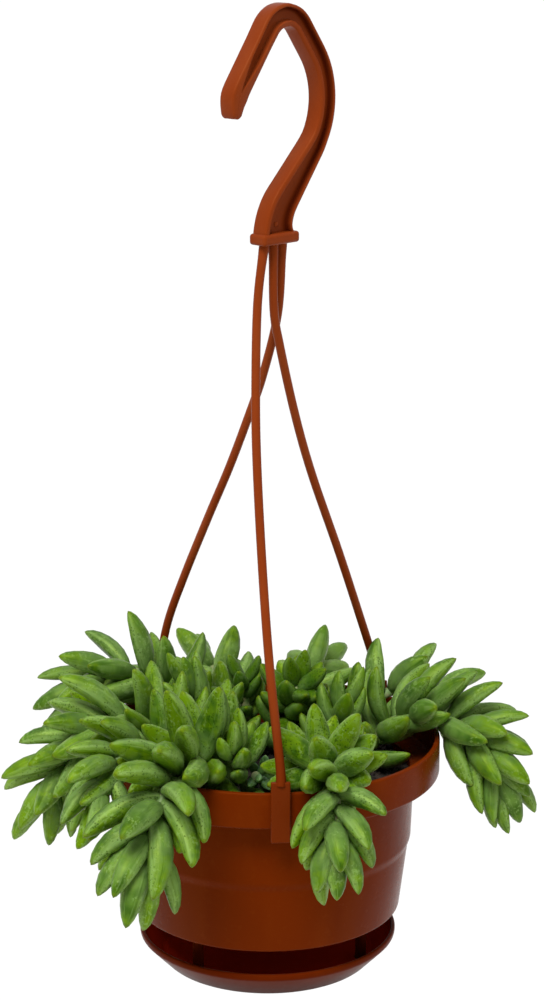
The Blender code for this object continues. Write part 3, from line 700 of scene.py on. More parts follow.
def crumb_tree() -> Tree:
    """Crumbs of peat scattered over a surface by a fixed seed.

    Returns:
        The tree.
    """
    kinds = {"Density": "Float", "Least": "Float", "Most": "Float", "Seed": "Int", "Finish": "Material"}
    graph = ShapeGraph("peat_crumbs", **kinds)
    given = graph.given
    surface, seed, density = given["Geometry"], given["Seed"], given["Density"]
    top = graph.function("Compare", {0: graph.carried("top"), 1: 0.5}, operation="GREATER_THAN")
    spots = graph.step("DistributePointsOnFaces", Mesh=surface, Selection=top, Density=density, Seed=seed)
    crumb = graph.step("MeshIcoSphere", Radius=1.0, Subdivisions=2)
    rough = graph.node("ShaderNodeTexNoise", {"Scale": 1.4, "Detail": 1.0}).outputs["Color"]
    lump = graph.vector("SCALE", graph.vector("SUBTRACT", rough, (0.5, 0.5, 0.5)), 1.1)
    lumpy = graph.step("SetPosition", Geometry=crumb, Offset=lump)
    size = graph.function("RandomValue", {2: given["Least"], 3: given["Most"], "Seed": seed}, 1)
    turns = {0: (0.0, 0.0, 0.0), 1: (math.tau, math.tau, math.tau), "Seed": seed}
    turn = graph.function("RandomValue", turns, data_type="FLOAT_VECTOR")
    turn = graph.function("EulerToRotation", {0: turn})
    strewn = graph.step("InstanceOnPoints", Points=spots, Instance=lumpy, Rotation=turn, Scale=size)
    both = graph.joined(graph.step("RealizeInstances", Geometry=strewn), surface)
    return graph.ended(graph.dressed(both, "Finish"))


def post_tree() -> Tree:
    """A copy of a post on each point.

    Returns:
        The tree.
    """
    graph = ShapeGraph("saucer_posts", Post="Object", Finish="Material")
    posts = graph.step("InstanceOnPoints", Points=graph.given["Geometry"], Instance=graph.shape_of("Post"))
    return graph.ended(graph.dressed(posts, "Finish"))


def polar(angle: float, radius: float) -> Row:
    """Place on a circle about the pot's axis, the angle in degrees from the front towards +X."""
    turn = math.radians(angle)
    return radius * math.sin(turn), -radius * math.cos(turn)


def ring_at(radius: float, z: float, steps: int) -> list[Place]:
    """Points round a circle about the pot's axis."""
    return [(*polar(360.0 * i / steps, radius), z) for i in range(steps)]


def smooth_route(points: Sequence, per_span: int = 12) -> np.ndarray:
    """A curve through the points, which leaves each along the line between its neighbours.

    Args:
        points: The points.
        per_span: Points of the curve in each span between two of them.

    Returns:
        The curve's points.
    """
    p = np.array(points, float)
    p = np.vstack([2 * p[0] - p[1], p, 2 * p[-1] - p[-2]])
    out = []
    for i in range(1, len(p) - 2):
        for t in np.arange(per_span) / per_span:
            a = 2 * p[i]
            b = p[i + 1] - p[i - 1]
            c = 2 * p[i - 1] - 5 * p[i] + 4 * p[i + 1] - p[i + 2]
            d = 3 * p[i] - p[i - 1] - 3 * p[i + 1] + p[i + 2]
            out.append((a + b * t + c * t * t + d * t**3) / 2)
    out.append(p[-2])
    return np.array(out)


def distances(curve: np.ndarray) -> np.ndarray:
    """Distance along a curve at each of its points."""
    return np.concatenate([[0.0], np.cumsum(np.linalg.norm(np.diff(curve, axis=0), axis=1))])


def read_at(places: object, along: np.ndarray, rows: np.ndarray) -> np.ndarray:
    """Rows of three numbers, read at one or more distances along a curve."""
    return np.stack([np.interp(places, along, rows[:, k]) for k in range(3)], axis=-1)


def spaced_along(curve: np.ndarray, spacing: float) -> np.ndarray:
    """Points an even distance apart along a curve.

    Args:
        curve: The curve's points.
        spacing: The distance.

    Returns:
        The new points.
    """
    along = distances(curve)
    places = np.linspace(0.0, along[-1], max(3, round(along[-1] / spacing) + 1))
    return read_at(places, along, curve)


def carried_frames(curve: np.ndarray) -> tuple[np.ndarray, np.ndarray]:
    """Tangents, and normals that are carried along the curve without twisting.

    Args:
        curve: The curve's points.

    Returns:
        A tangent and a normal at each point.
    """
    tangents = np.gradient(curve, axis=0)
    tangents /= np.linalg.norm(tangents, axis=1)[:, None]
    normal = np.array([1.0, 0.0, 0.0])
    normals = []
    for tangent in tangents:
        normal = normal - tangent * normal.dot(tangent)
        normal = normal / np.linalg.norm(normal)
        normals.append(normal)
    return tangents, np.array(normals)


def band_faces(count: int, rows: int, start: int = 0) -> list[tuple]:
    """Quads between rings of points.

    Args:
        count: Points in each ring.
        rows: The number of rings.
        start: The number of the first ring's first point.

    Returns:
        Corner numbers of each quad.
    """
    faces = []
    for here in range(start, start + (rows - 1) * count, count):
        for i in range(count):
            j = (i + 1) % count
            faces.append((here + i, here + j, here + count + j, here + count + i))
    return faces


def fan_faces(count: int, first: int, middle: int) -> list[tuple]:
    """Triangles from a middle point to a ring that starts at a point."""
    return [(middle, first + i, first + (i + 1) % count) for i in range(count)]


def turned(name: str, profile: Sequence[Row], steps: int = 192) -> Object:
    """A closed profile turned round the pot's axis.

    Args:
        name: The object's name.
        profile: Points of radius and height, the ones at the axis with radius zero.
        steps: Flats round the axis.

    Returns:
        The closed, smoothed object.
    """
    points: list[Place] = []
    rings: list[list[int]] = []
    for radius, z in profile:
        ring = ring_at(radius, z, steps) if radius else [(0.0, 0.0, z)]
        rings.append(list(range(len(points), len(points) + len(ring))))
        points += ring
    faces = []
    for here, there in zip(rings, rings[1:] + rings[:1]):
        for i in range(steps):
            quad = [here[i % len(here)], here[(i + 1) % len(here)]]
            quad += [there[(i + 1) % len(there)], there[i % len(there)]]
            corners = list(dict.fromkeys(quad))
            if len(corners) > 2:
                faces.append(corners)
    return moulded(name, points, faces)


def rounded(profile: Sequence[tuple], arc_steps: int = 4, most: float = 0.45) -> list[Row]:
    """Rounds a closed profile's corners.

    Args:
        profile: Points of radius, height and, where the corner is rounded, its fillet's radius.
        arc_steps: Runs in each fillet.
        most: The share of a run that a fillet may take.

    Returns:
        The profile's points with the fillets in place of the corners.
    """
    out: list[Row] = []
    for i, (x, z, *fillet) in enumerate(profile):
        corner = Vector((x, z))
        if not fillet:
            out.append((x, z))
            continue
        before = Vector(profile[i - 1][:2]) - corner
        after = Vector(profile[(i + 1) % len(profile)][:2]) - corner
        reach = min(fillet[0], before.length * most, after.length * most)
        start = corner + before.normalized() * reach
        end = corner + after.normalized() * reach
        for k in range(arc_steps + 1):
            t = k / arc_steps
            spot = start * (1 - t) ** 2 + corner * 2 * t * (1 - t) + end * t * t
            out.append((spot.x, spot.y))
    return out


def closed_sweep(name: str, rings: Sequence[Sequence[Place]], **marks: Sequence[float]) -> Object:
    """A closed tube through rings of points, with flat ends.

    Args:
        name: The object's name.
        rings: Rings of points, all of one count.
        marks: A number for each point, by the name of its attribute.

    Returns:
        The object.
    """
    count, points = len(rings[0]), [point for ring in rings for point in ring]
    ends = [tuple(range(count)), tuple(range(len(points) - count, len(points)))]
    return moulded(name, points, band_faces(count, len(rings)) + ends, **marks)


def softened_block(name: str, centre: Place, size: Place, turn: float, soft: float) -> Object:
    """A block turned about the vertical through its centre, with rounded edges.

    Args:
        name: The object's name.
        centre: Its middle.
        size: Its width, thickness and height.
        turn: Its turn in radians.
        soft: The radius of its edges.

    Returns:
        The finished object.
    """
    half_x, half_y, half_z = (side / 2 for side in size)
    ring = []
    for u, v in ((-half_x, -half_y), (half_x, -half_y), (half_x, half_y), (-half_x, half_y)):
        ring.append((u * math.cos(turn) - v * math.sin(turn), u * math.sin(turn) + v * math.cos(turn)))
    rings = [[(centre[0] + u, centre[1] + v, centre[2] + z) for u, v in ring] for z in (-half_z, half_z)]
    made = closed_sweep(name, rings)
    edge = made.modifiers.new("edge", "BEVEL")
    edge.width = soft * MM
    edge.segments = BEVEL_RUNS
    applied(made)
    made.data.shade_smooth()
    return made


def tube(name: str, curve: np.ndarray, swell: np.ndarray, tree: Tree, **inputs: object) -> Object:
    """A tube along a curve.

    Args:
        name: The object's name.
        curve: Places in millimetres.
        swell: Scale of the tube's radius at each point.
        tree: The tube tree.
        inputs: The tree's inputs.

    Returns:
        The tube.
    """
    line = placed(name, from_rim(curve), edges=[(i, i + 1) for i in range(len(curve) - 1)])
    mark(line, "swell", swell)
    return grown(line, tree, **inputs)


def arc_at_corner(before: Vector, corner: Vector, after: Vector, radius: float) -> tuple:
    """Rounds the corner between two runs.

    Args:
        before: The stop before the corner.
        corner: The corner.
        after: The stop after it.
        radius: The arc's radius.

    Returns:
        Directions of the two runs, half the angle between them and the arc's centre.
    """
    back = (before - corner).normalized()
    ahead = (after - corner).normalized()
    half = back.angle(ahead) / 2
    return back, ahead, half, corner + (back + ahead).normalized() * (radius / math.sin(half))


@dataclass
class Hook:
    """The moulded hook: a channelled band that widens down to its collar."""

    turn: float = math.radians(45.0)
    axis: Row = (1.9, -2.0)
    depth: float = 6.4
    tip: Row = (-19.3, 214.4)
    corners: tuple = ((-18.4, 221.3, 14.0), (4.0, 253.1, 9.2), (30.0, 217.3, 26.0), (-0.2, 181.5, 18.0))
    foot: Row = (-0.2, 173.5)
    widens: tuple = ((173.0, 13.6), (179.0, 12.2), (186.0, 11.0), (192.0, 9.8), (206.0, 7.2))
    tip_narrows: tuple = ((214.4, 3.2), (221.0, 7.0), (238.0, 7.0), (246.0, 7.6))
    tip_rounds: tuple = ((0.72, 0.0), (0.92, 0.45))
    arc_step: float = 5.0
    ring_spacing: float = 1.2
    groove: float = 2.2
    inner_flange: float = 1.9
    outer_flange: float = 1.2
    groove_from_tip: float = 9.0
    groove_opens: float = 12.0
    groove_power: float = 0.7
    least_groove: float = 0.05
    lip: float = 0.25
    edge: float = 0.75
    edge_arc: tuple = ((0.0, 1.0), (0.1, 0.6), (0.35, 0.25), (1.0, 0.0))
    collar: Place = (16.8, 7.6, 3.8)
    collar_u: float = 0.6
    collar_z: float = 173.8
    collar_edge: float = 1.1
    flare: float = 2.0
    flare_top: float = 181.0
    flare_power: float = 2.5
    gate: Row = (0.2, 178.4)
    gate_rings: tuple = ((0.9, -0.2), (0.9, 0.12), (0.75, 0.25), (0.3, 0.3))
    gate_sides: int = 16

    def in_plane(self, u: float, v: float, across: float) -> Place:
        """Place of a point u along, v up and across the hook's plane."""
        cos, sin = math.cos(self.turn), math.sin(self.turn)
        return self.axis[0] + u * cos - across * sin, self.axis[1] + u * sin + across * cos, v

    def band(self, z: float, past_crown: bool) -> float:
        """Width of the band in the hook's plane."""
        heights, widths = zip(*(self.widens if past_crown else self.tip_narrows))
        return float(np.interp(z, heights, widths))

    def crown(self) -> Place:
        """The hook's inner crown, where it hangs, which is the frame's origin.

        Returns:
            Its place, above the centre of the top arc.
        """
        radius = self.corners[1][2]
        centre = arc_at_corner(*(Vector(corner[:2]) for corner in self.corners[:3]), radius)[3]
        top = centre.y + radius
        return self.in_plane(centre.x, top - self.band(top, False) / 2, 0.0)

    def line(self) -> list[Vector]:
        """The band's middle line in the hook's plane.

        Returns:
            Points an even distance apart, with the corners as arcs.
        """
        stops = [Vector(self.tip), *(Vector(c[:2]) for c in self.corners), Vector(self.foot)]
        points = [stops[0]]
        for i, (_, _, radius) in enumerate(self.corners, start=1):
            before, after, half, centre = arc_at_corner(*stops[i - 1 : i + 2], radius)
            first = stops[i] + before * (radius / math.tan(half)) - centre
            last = stops[i] + after * (radius / math.tan(half)) - centre
            sweep = first.angle_signed(last)
            steps = max(3, round(math.degrees(abs(sweep)) / self.arc_step))
            for k in range(steps + 1):
                turn = -sweep * k / steps
                x = first.x * math.cos(turn) - first.y * math.sin(turn)
                y = first.x * math.sin(turn) + first.y * math.cos(turn)
                points.append(centre + Vector((x, y)))
        points.append(stops[-1])
        flat = np.array([(p.x, p.y, 0.0) for p in points])
        return [Vector((x, y)) for x, y, _ in spaced_along(flat, self.ring_spacing)]

    def section(self, width: float, opening: float, shrink: float) -> list[Place]:
        """The band's section: a rounded bar with a groove in each flat side.

        Args:
            width: The band's width.
            opening: From 0, no groove, to 1, the full groove.
            shrink: Scale of the whole section, under 1 at a rounded end.

        Returns:
            Points out from and across the band, each with its shade.
        """
        half, deep, soft = width / 2, self.depth / 2, self.edge
        high = half - self.outer_flange
        low = -half + self.inner_flange
        middle = (high + low) / 2
        open_share = max(opening, self.least_groove)
        high = middle + (high - middle) * open_share
        low = middle + (low - middle) * open_share
        floor = deep - self.groove * opening
        lip = self.lip * open_share
        outer = high - 1.6 * lip
        inner = low + 1.6 * lip
        upper = [(half - a * soft, deep - b * soft, 0.0) for a, b in self.edge_arc]
        upper += [
            (high + lip, deep, 0.0),
            (high, deep - lip, 0.3),
            (high - 0.4 * lip, floor + lip, 1.0),
            (outer, floor, 1.0),
            (outer + 0.3 * (inner - outer), floor, 0.35),
            (inner, floor, 0.0),
            (low + 0.4 * lip, floor + lip, 0.0),
            (low, deep - lip, 0.0),
            (low - lip, deep, 0.0),
        ]
        upper += [(-half + a * soft, deep - b * soft, 0.0) for a, b in reversed(self.edge_arc)]
        lower = [(out, -across, shade) for out, across, shade in reversed(upper)]
        return [(out * shrink, across * shrink, shade * opening) for out, across, shade in upper + lower]

    def make_band(self) -> Object:
        """The hook's band, with the shade in its groove as an attribute.

        Returns:
            The band.
        """
        line = self.line()
        crown = max(range(len(line)), key=lambda i: line[i].y)
        travelled = 0.0
        rings = []
        shades = []
        for i, spot in enumerate(line):
            before, after = line[max(i - 1, 0)], line[min(i + 1, len(line) - 1)]
            travelled += (spot - before).length
            ahead = (after - before).normalized()
            outward = Vector((-ahead.y, ahead.x))
            open_share = (travelled - self.groove_from_tip) / self.groove_opens
            opening = min(max(open_share, 0.0), 1.0) ** self.groove_power
            low_share = (self.flare_top - spot.y) / (self.flare_top - self.foot[1])
            flare = self.flare * min(max(low_share, 0.0), 1.0) ** self.flare_power
            for shrink, back in self.tip_rounds if i == 0 else ((1.0, 0.0),):
                middle = spot + ahead * back
                ring = []
                for out, across, shade in self.section(self.band(spot.y, i > crown), opening, shrink):
                    spread = flare if i > crown and out > 0.0 else 0.0
                    flat = middle + outward * (out + spread)
                    ring.append(self.in_plane(flat.x, flat.y, across))
                    shades.append(shade)
                rings.append(ring)
        return closed_sweep("hanger_hook", rings, shade=shades)

    def make_gate_mark(self) -> Object:
        """The small round mark that the mould's gate left on the near face, above the collar.

        Returns:
            The mark.
        """
        rings = []
        for radius, rise in self.gate_rings:
            ring = []
            for i in range(self.gate_sides):
                turn = math.tau * i / self.gate_sides
                u, v = self.gate[0] + radius * math.cos(turn), self.gate[1] + radius * math.sin(turn)
                ring.append(self.in_plane(u, v, -self.depth / 2 + self.groove - rise))
            rings.append(ring)
        return closed_sweep("hanger_gate_mark", rings)

    def build(self, finish: Material) -> list[Object]:
        """Builds the band, its collar and the gate mark.

        Args:
            finish: The hanger's finish.

        Returns:
            The pieces.
        """
        centre = self.in_plane(self.collar_u, self.collar_z, 0.0)
        collar = softened_block("hanger_collar", centre, self.collar, self.turn, self.collar_edge)
        return dressed([self.make_band(), collar, self.make_gate_mark()], finish)


HOOK = Hook()


@dataclass
class Rim:
    """Sizes of the pot's rim, which the clips grip."""

    radius: float = 60.0
    wall: float = 1.8
    height: float = 12.5


RIM = Rim()


@dataclass
class Legs:
    """The hanger's three round legs and the flat clips that they end in."""

    radius: float = 1.5
    spacing: float = 4.2
    sides: int = 20
    step: float = 2.5
    swell: float = 0.16
    swell_reach: float = 5.0
    clip_width: float = 6.4
    clip_thickness: float = 1.6
    clip_top: float = 4.5
    clip_bottom: float = -16.5
    clip_edge: float = 0.4
    tooth_width: float = 5.4
    tooth_height: float = 2.2
    tooth_reach: float = 5.5
    tooth_sink: float = 0.4
    above_plate: float = 4.5
    above_plate_radius: float = RIM.radius - 0.8
    in_plate: float = 1.5
    front: tuple = (
        (-3.3, -9.0, 153.0),
        (-3.9, -18.0, 126.0),
        (-3.5, -26.5, 103.0),
        (-1.6, -39.0, 69.0),
        (0.8, -50.5, 39.0),
    )
    right: tuple = (
        (2.1, -1.6, 150.0),
        (4.1, 0.8, 137.0),
        (9.3, 8.0, 112.0),
        (15.3, 15.6, 89.0),
        (25.1, 27.2, 58.0),
        (33.5, 37.0, 30.0),
    )
    left: tuple = (
        (3.5, 3.6, 148.0),
        (-1.4, 8.6, 126.0),
        (-5.8, 13.0, 112.0),
        (-13.0, 20.0, 91.0),
        (-21.0, 28.3, 70.0),
        (-29.9, 36.6, 46.0),
        (-36.2, 41.6, 27.0),
    )

    @property
    def clip_middle(self) -> float:
        """Distance of the clip plates' middles from the pot's axis."""
        return RIM.radius + GAP + self.clip_thickness / 2

    def route(self, side: Side) -> tuple[Place, ...]:
        """A leg's points from the collar to its clip.

        Args:
            side: The leg.

        Returns:
            The points.
        """
        order, between = {
            Side.FRONT: (-1, self.front),
            Side.RIGHT: (0, self.right),
            Side.LEFT: (1, self.left),
        }[side]
        top = HOOK.in_plane(order * self.spacing, HOOK.collar_z - self.radius, 0.0)
        above = (*polar(side.value, self.above_plate_radius), self.clip_top + self.above_plate)
        end = (*polar(side.value, self.clip_middle), self.clip_top - self.in_plate)
        return (top, *between, above, end)

    def make_leg(self, side: Side, tree: Tree, finish: Material) -> Object:
        """One leg, a tube along its route that thickens a little at the collar and the clip.

        Args:
            side: The leg.
            tree: The tube tree.
            finish: The hanger's finish.

        Returns:
            The leg.
        """
        curve = spaced_along(smooth_route(self.route(side)), self.step)
        ends = np.minimum(np.arange(len(curve)), np.arange(len(curve))[::-1]) * self.step
        swell = 1.0 + self.swell * np.exp(-((ends / self.swell_reach) ** 2))
        inputs = {"Radius": self.radius * MM, "Sides": self.sides, "Finish": finish}
        return tube(f"hanger_leg_{side.name.lower()}", curve, swell, tree, **inputs)

    def block(self, kind: str, side: Side, out: float, z: float, size: Place) -> Object:
        """A softened block of a clip, at a distance from the pot's axis and a height."""
        name, turn = f"hanger_{kind}_{side.name.lower()}", math.radians(side.value)
        return softened_block(name, (*polar(side.value, out), z), size, turn, self.clip_edge)

    def build(self, finish: Material) -> list[Object]:
        """Builds every leg with its clip: a plate outside the rim and a tooth that catches under it.

        Args:
            finish: The hanger's finish.

        Returns:
            The pieces.
        """
        tree = tube_tree()
        plate = (self.clip_width, self.clip_thickness, self.clip_top - self.clip_bottom)
        plate_z = (self.clip_top + self.clip_bottom) / 2
        tooth = (self.tooth_width, self.tooth_reach, self.tooth_height)
        tooth_out = self.clip_middle + self.clip_thickness / 2 - self.tooth_sink - self.tooth_reach / 2
        tooth_z = -RIM.height - GAP - self.tooth_height / 2
        made = []
        for side in Side:
            made.append(self.make_leg(side, tree, finish))
            clip = self.block("clip", side, self.clip_middle, plate_z, plate)
            made += dressed([clip, self.block("tooth", side, tooth_out, tooth_z, tooth)], finish)
        return made


@dataclass
class Pot:
    """The tapered pot with its rim band, its soft step and its inset base."""

    wall: float = 1.5
    depth: float = 62.0
    body_top: float = 51.2
    step: float = 50.3
    step_z: float = -36.8
    step_drop: float = 1.0
    step_points: int = 11
    below_step: float = 49.2
    foot: float = 46.4
    inset: float = 44.2
    inset_height: float = 4.0
    inset_taper: float = 0.5
    base: float = 1.6
    drains: int = 6
    first_drain: float = 30.0
    drain_circle: float = 22.0
    drain_radius: float = 3.5
    drill_sides: int = 24
    drill_past: float = 1.0
    post_angles: tuple = (75.0, 195.0, 315.0)
    post_circle: float = 34.0
    post_radius: float = 1.9
    post_play: float = 0.4

    @property
    def floor(self) -> float:
        """Height of the floor inside."""
        return -self.depth + self.inset_height + self.base

    def profile(self) -> list[Row]:
        """The pot's section, from the outside of its rim down, across the base and up inside.

        Returns:
            Points of radius and height.
        """
        base_z = -self.depth + self.inset_height
        inside = RIM.radius - RIM.wall
        ledge = -RIM.height + self.wall
        soft_step = []
        for share in np.linspace(0.0, 1.0, self.step_points):
            fall = share * share * (3.0 - 2.0 * share)
            radius = self.step + (self.below_step - self.step) * fall
            soft_step.append((radius, self.step_z + self.step_drop * (1.5 - 4.5 * share)))
        corners = (
            (RIM.radius, -RIM.height, 0.9),
            (self.body_top, -RIM.height, 0.6),
            *soft_step,
            (self.foot, -self.depth, 1.1),
            (self.inset, -self.depth, 0.6),
            (self.inset - self.inset_taper, base_z, 0.6),
            (0.0, base_z),
            (0.0, self.floor),
            (self.foot - self.wall, self.floor, 0.8),
            (self.below_step - self.wall, self.step_z - self.step_drop),
            (self.body_top - self.wall, ledge, 0.6),
            (inside, ledge, 0.8),
            (inside, 0.0, 0.6),
            (RIM.radius, 0.0, 0.8),
        )
        return rounded(corners)

    def drill(self, angle: float, circle: float, radius: float) -> Object:
        """A round cutter through the base.

        Args:
            angle: Where it stands round the pot's axis, in degrees.
            circle: Its distance from the axis.
            radius: Its radius.

        Returns:
            The cutter.
        """
        x, y = polar(angle, circle)
        turns = [math.tau * i / self.drill_sides for i in range(self.drill_sides)]
        ring = [(x + radius * math.cos(turn), y + radius * math.sin(turn)) for turn in turns]
        ends = (-self.depth - self.drill_past, self.floor + self.drill_past)
        return closed_sweep("drill", [[(*spot, z) for spot in ring] for z in ends])

    def build(self, finish: Material) -> list[Object]:
        """Turns the pot and drills its drain holes and the holes for the saucer's posts.

        Args:
            finish: The pot's finish.

        Returns:
            The pot.
        """
        pot = turned("pot_body", self.profile())
        drains = [self.first_drain + 360.0 * i / self.drains for i in range(self.drains)]
        drills = [self.drill(angle, self.drain_circle, self.drain_radius) for angle in drains]
        bore = self.post_radius + self.post_play
        drills += [self.drill(angle, self.post_circle, bore) for angle in self.post_angles]
        group = bpy.data.collections.new("drills")
        for drill in drills:
            group.objects.link(drill)
        cut = pot.modifiers.new("drain", "BOOLEAN")
        cut.operand_type = "COLLECTION"
        cut.collection = group
        cut.operation = "DIFFERENCE"
        applied(pot)
        for drill in drills:
            bpy.data.objects.remove(drill)
        bpy.data.collections.remove(group)
        return dressed([pot], finish)


@dataclass
class Saucer:
    """The dish under the pot, with its flared wall and its three snap-in posts."""

    rim: float = 45.2
    rim_z: float = -71.0
    foot: float = 36.5
    foot_z: float = -82.0
    wall: float = 1.4
    rim_height: float = 2.0
    head_radius: float = 3.0
    head_height: float = 2.4
    head_side: float = 0.7
    post_sink: float = 0.8
    post_flare: float = 0.5
    post_flare_height: float = 1.2
    post_sides: int = 24
    lit_slope: float = 0.2

    @property
    def floor(self) -> float:
        """Height of the dish's floor."""
        return self.foot_z + self.wall

    def profile(self) -> list[Row]:
        """The dish's section, from the middle of its foot out and back over its floor.

        Returns:
            Points of radius and height.
        """
        low = self.rim_z - self.rim_height
        slope = (self.rim - self.foot) / (low - self.foot_z)
        corners = (
            (0.0, self.foot_z),
            (self.foot, self.foot_z, 1.4),
            (self.rim, low, 0.8),
            (self.rim, self.rim_z, 0.6),
            (self.rim - self.wall, self.rim_z, 0.5),
            (self.rim - self.wall, low, 0.6),
            (self.foot - self.wall + slope * self.wall, self.floor, 1.2),
            (0.0, self.floor),
        )
        return rounded(corners)

    def post_profile(self, pot: Pot) -> list[Row]:
        """Half section of a post with its snap head, about its own axis.

        Args:
            pot: The pot that it snaps into.

        Returns:
            Points of radius and height.
        """
        seat = pot.floor + GAP
        corners = (
            (0.0, self.floor - self.post_sink),
            (pot.post_radius + self.post_flare, self.floor - self.post_sink),
            (pot.post_radius, self.floor + self.post_flare_height, 0.6),
            (pot.post_radius, seat, 0.1),
            (self.head_radius, seat, 0.3),
            (self.head_radius, seat + self.head_side, 0.4),
            (pot.post_radius, seat + self.head_height, 0.6),
            (0.0, seat + self.head_height),
        )
        return rounded(corners)

    def mark_glow_inside(self, dish: Object) -> None:
        """Marks the dish's floor and inner wall, which only see light that comes through the plastic, for a
        painted red glow and no gloss.

        Args:
            dish: The dish.
        """
        crown = Vector(HOOK.crown()) * MM
        reach = (self.rim - self.wall) * MM
        inside = []
        for face in dish.data.polygons:
            upwards = face.normal.z > self.lit_slope
            inside.append(float(upwards and (face.center + crown).xy.length < reach))
        mark(dish, "shade", inside, domain="FACE")

    def build(self, pot: Pot, finish: Material) -> list[Object]:
        """Turns the dish, and sets a copy of the post at each of its places.

        Args:
            pot: The pot that it hangs from.
            finish: The saucer's finish.

        Returns:
            The dish and the posts.
        """
        dish = turned("saucer_dish", self.profile())
        self.mark_glow_inside(dish)
        post = turned("post", self.post_profile(pot), self.post_sides)
        spots = [polar(angle, pot.post_circle) for angle in pot.post_angles]
        posts = placed("saucer_posts", [(x * MM, y * MM, 0.0) for x, y in spots])
        grown(posts, post_tree(), Post=post, Finish=finish)
        bpy.data.objects.remove(post)
        return [*dressed([dish], finish), posts]


@dataclass
class Soil:
    """The peat in the pot, with crumbs strewn over its uneven top."""

    top: float = -14.0
    bump: float = 0.9
    top_share: float = 0.992
    rings: int = 44
    steps: int = 132
    crumbs_per_m2: float = 230000.0
    crumb_least: float = 0.00035
    crumb_most: float = 0.0014
    seed: int = 7

    def height(self, x: float, y: float) -> float:
        """The soil's gently uneven top, with small clods on it.

        Args:
            x: Place across.
            y: Place in depth.

        Returns:
            The height there.
        """
        broad = math.sin(0.31 * x + 0.8) * math.cos(0.27 * y)
        short = 0.4 * math.sin(0.7 * x - 0.5 * y)
        clods = 0.22 * math.sin(1.9 * x + 0.7 * y) * math.sin(1.7 * y - 0.4 * x)
        return self.top + self.bump * (broad + short) / 1.4 + clods

    def build(self, pot: Pot, finish: Material) -> list[Object]:
        """Builds the closed mass of soil and strews its crumbs.

        Args:
            pot: The pot that it fills.
            finish: The peat's finish.

        Returns:
            The soil.
        """
        floor = pot.floor + GAP
        step = pot.step_z - pot.step_drop
        taper = (pot.body_top - pot.below_step) / (-RIM.height + pot.wall - step)
        wide = pot.below_step - pot.wall - GAP
        shoulder = self.top - self.bump
        edge = wide + taper * (shoulder - step)
        sides = ((pot.foot - pot.wall - GAP, floor), (wide, step), (edge, shoulder))
        points = [(0.0, 0.0, floor)]
        for radius, z in sides:
            points += ring_at(radius, z, self.steps)
        for ring in range(self.rings):
            flat = ring_at(edge * self.top_share * (1.0 - ring / self.rings), 0.0, self.steps)
            points += [(x, y, self.height(x, y)) for x, y, _ in flat]
        points.append((0.0, 0.0, self.height(0.0, 0.0)))
        last = len(points) - 1
        faces = fan_faces(self.steps, 1, 0)
        faces += band_faces(self.steps, len(sides) + self.rings, 1)
        faces += fan_faces(self.steps, last - self.steps, last)
        soil = moulded("soil_mass", points, faces)
        mark(soil, "top", [float(face.normal.z > 0.5) for face in soil.data.polygons], domain="FACE")
        sizes = {"Density": self.crumbs_per_m2, "Least": self.crumb_least, "Most": self.crumb_most}
        return [grown(soil, crumb_tree(), Seed=self.seed, Finish=finish, **sizes)]


@dataclass
class LeafForm:
    """The plump pointed leaf: its outline, its section and its bend."""

    shares: tuple = (0.0, 0.14, 0.3, 0.46, 0.62, 0.77, 0.89, 0.97)
    widths: tuple = (0.5, 0.78, 0.97, 1.0, 0.92, 0.73, 0.5, 0.22)
    around: int = 10
    flat_side: float = 0.72
    channel: float = 0.3
    round_side: float = 0.92

    def build(self) -> Object:
        """A leaf of unit length and width along +X, with its place along, round and on it as attributes.

        Returns:
            The leaf, of which every stem takes copies.
        """
        points: list[Place] = []
        notes: list[tuple] = []
        for t, size in zip(self.shares, self.widths):
            for i in range(self.around):
                angle = math.tau * i / self.around
                lift = math.sin(angle)
                thick = self.round_side * lift
                if lift > 0.0:
                    thick = self.flat_side * lift * (1.0 - self.channel * lift**6)
                points.append((t, size * math.cos(angle) / 2, size * thick / 2))
                notes.append((t, abs(math.cos(angle)), lift, size * thick / 2))
        tip = len(points)
        points.append((1.0, 0.0, 0.0))
        notes.append((1.0, 0.0, 0.0, 0.0))
        faces = [tuple(range(self.around)), *band_faces(self.around, len(self.shares))]
        made = placed("leaf_form", points, faces + fan_faces(self.around, tip - self.around, tip))
        for name, values in zip(("along", "margin", "upper", "lift"), np.transpose(notes)):
            mark(made, name, values)
        return face_outwards(made)


@dataclass(frozen=True)
class LeafyStem:
    """One leafy stem: where it stands in the soil, its route on from there, and its leaves."""

    name: str
    route: tuple
    leaves: int
    length: float
    width: float
    splay: Row
    bend: float
    seed: int
    # Share of painted shade on the stem's leaves, for stems deep in the pot.
    dark: float = 0.0
    young: bool = False


@dataclass(frozen=True)
class Leaf:
    """One leaf where it grows: its root, its axes along, across and towards its bend, and its size."""

    root: np.ndarray
    axes: np.ndarray
    curl: np.ndarray
    length: float
    width: float
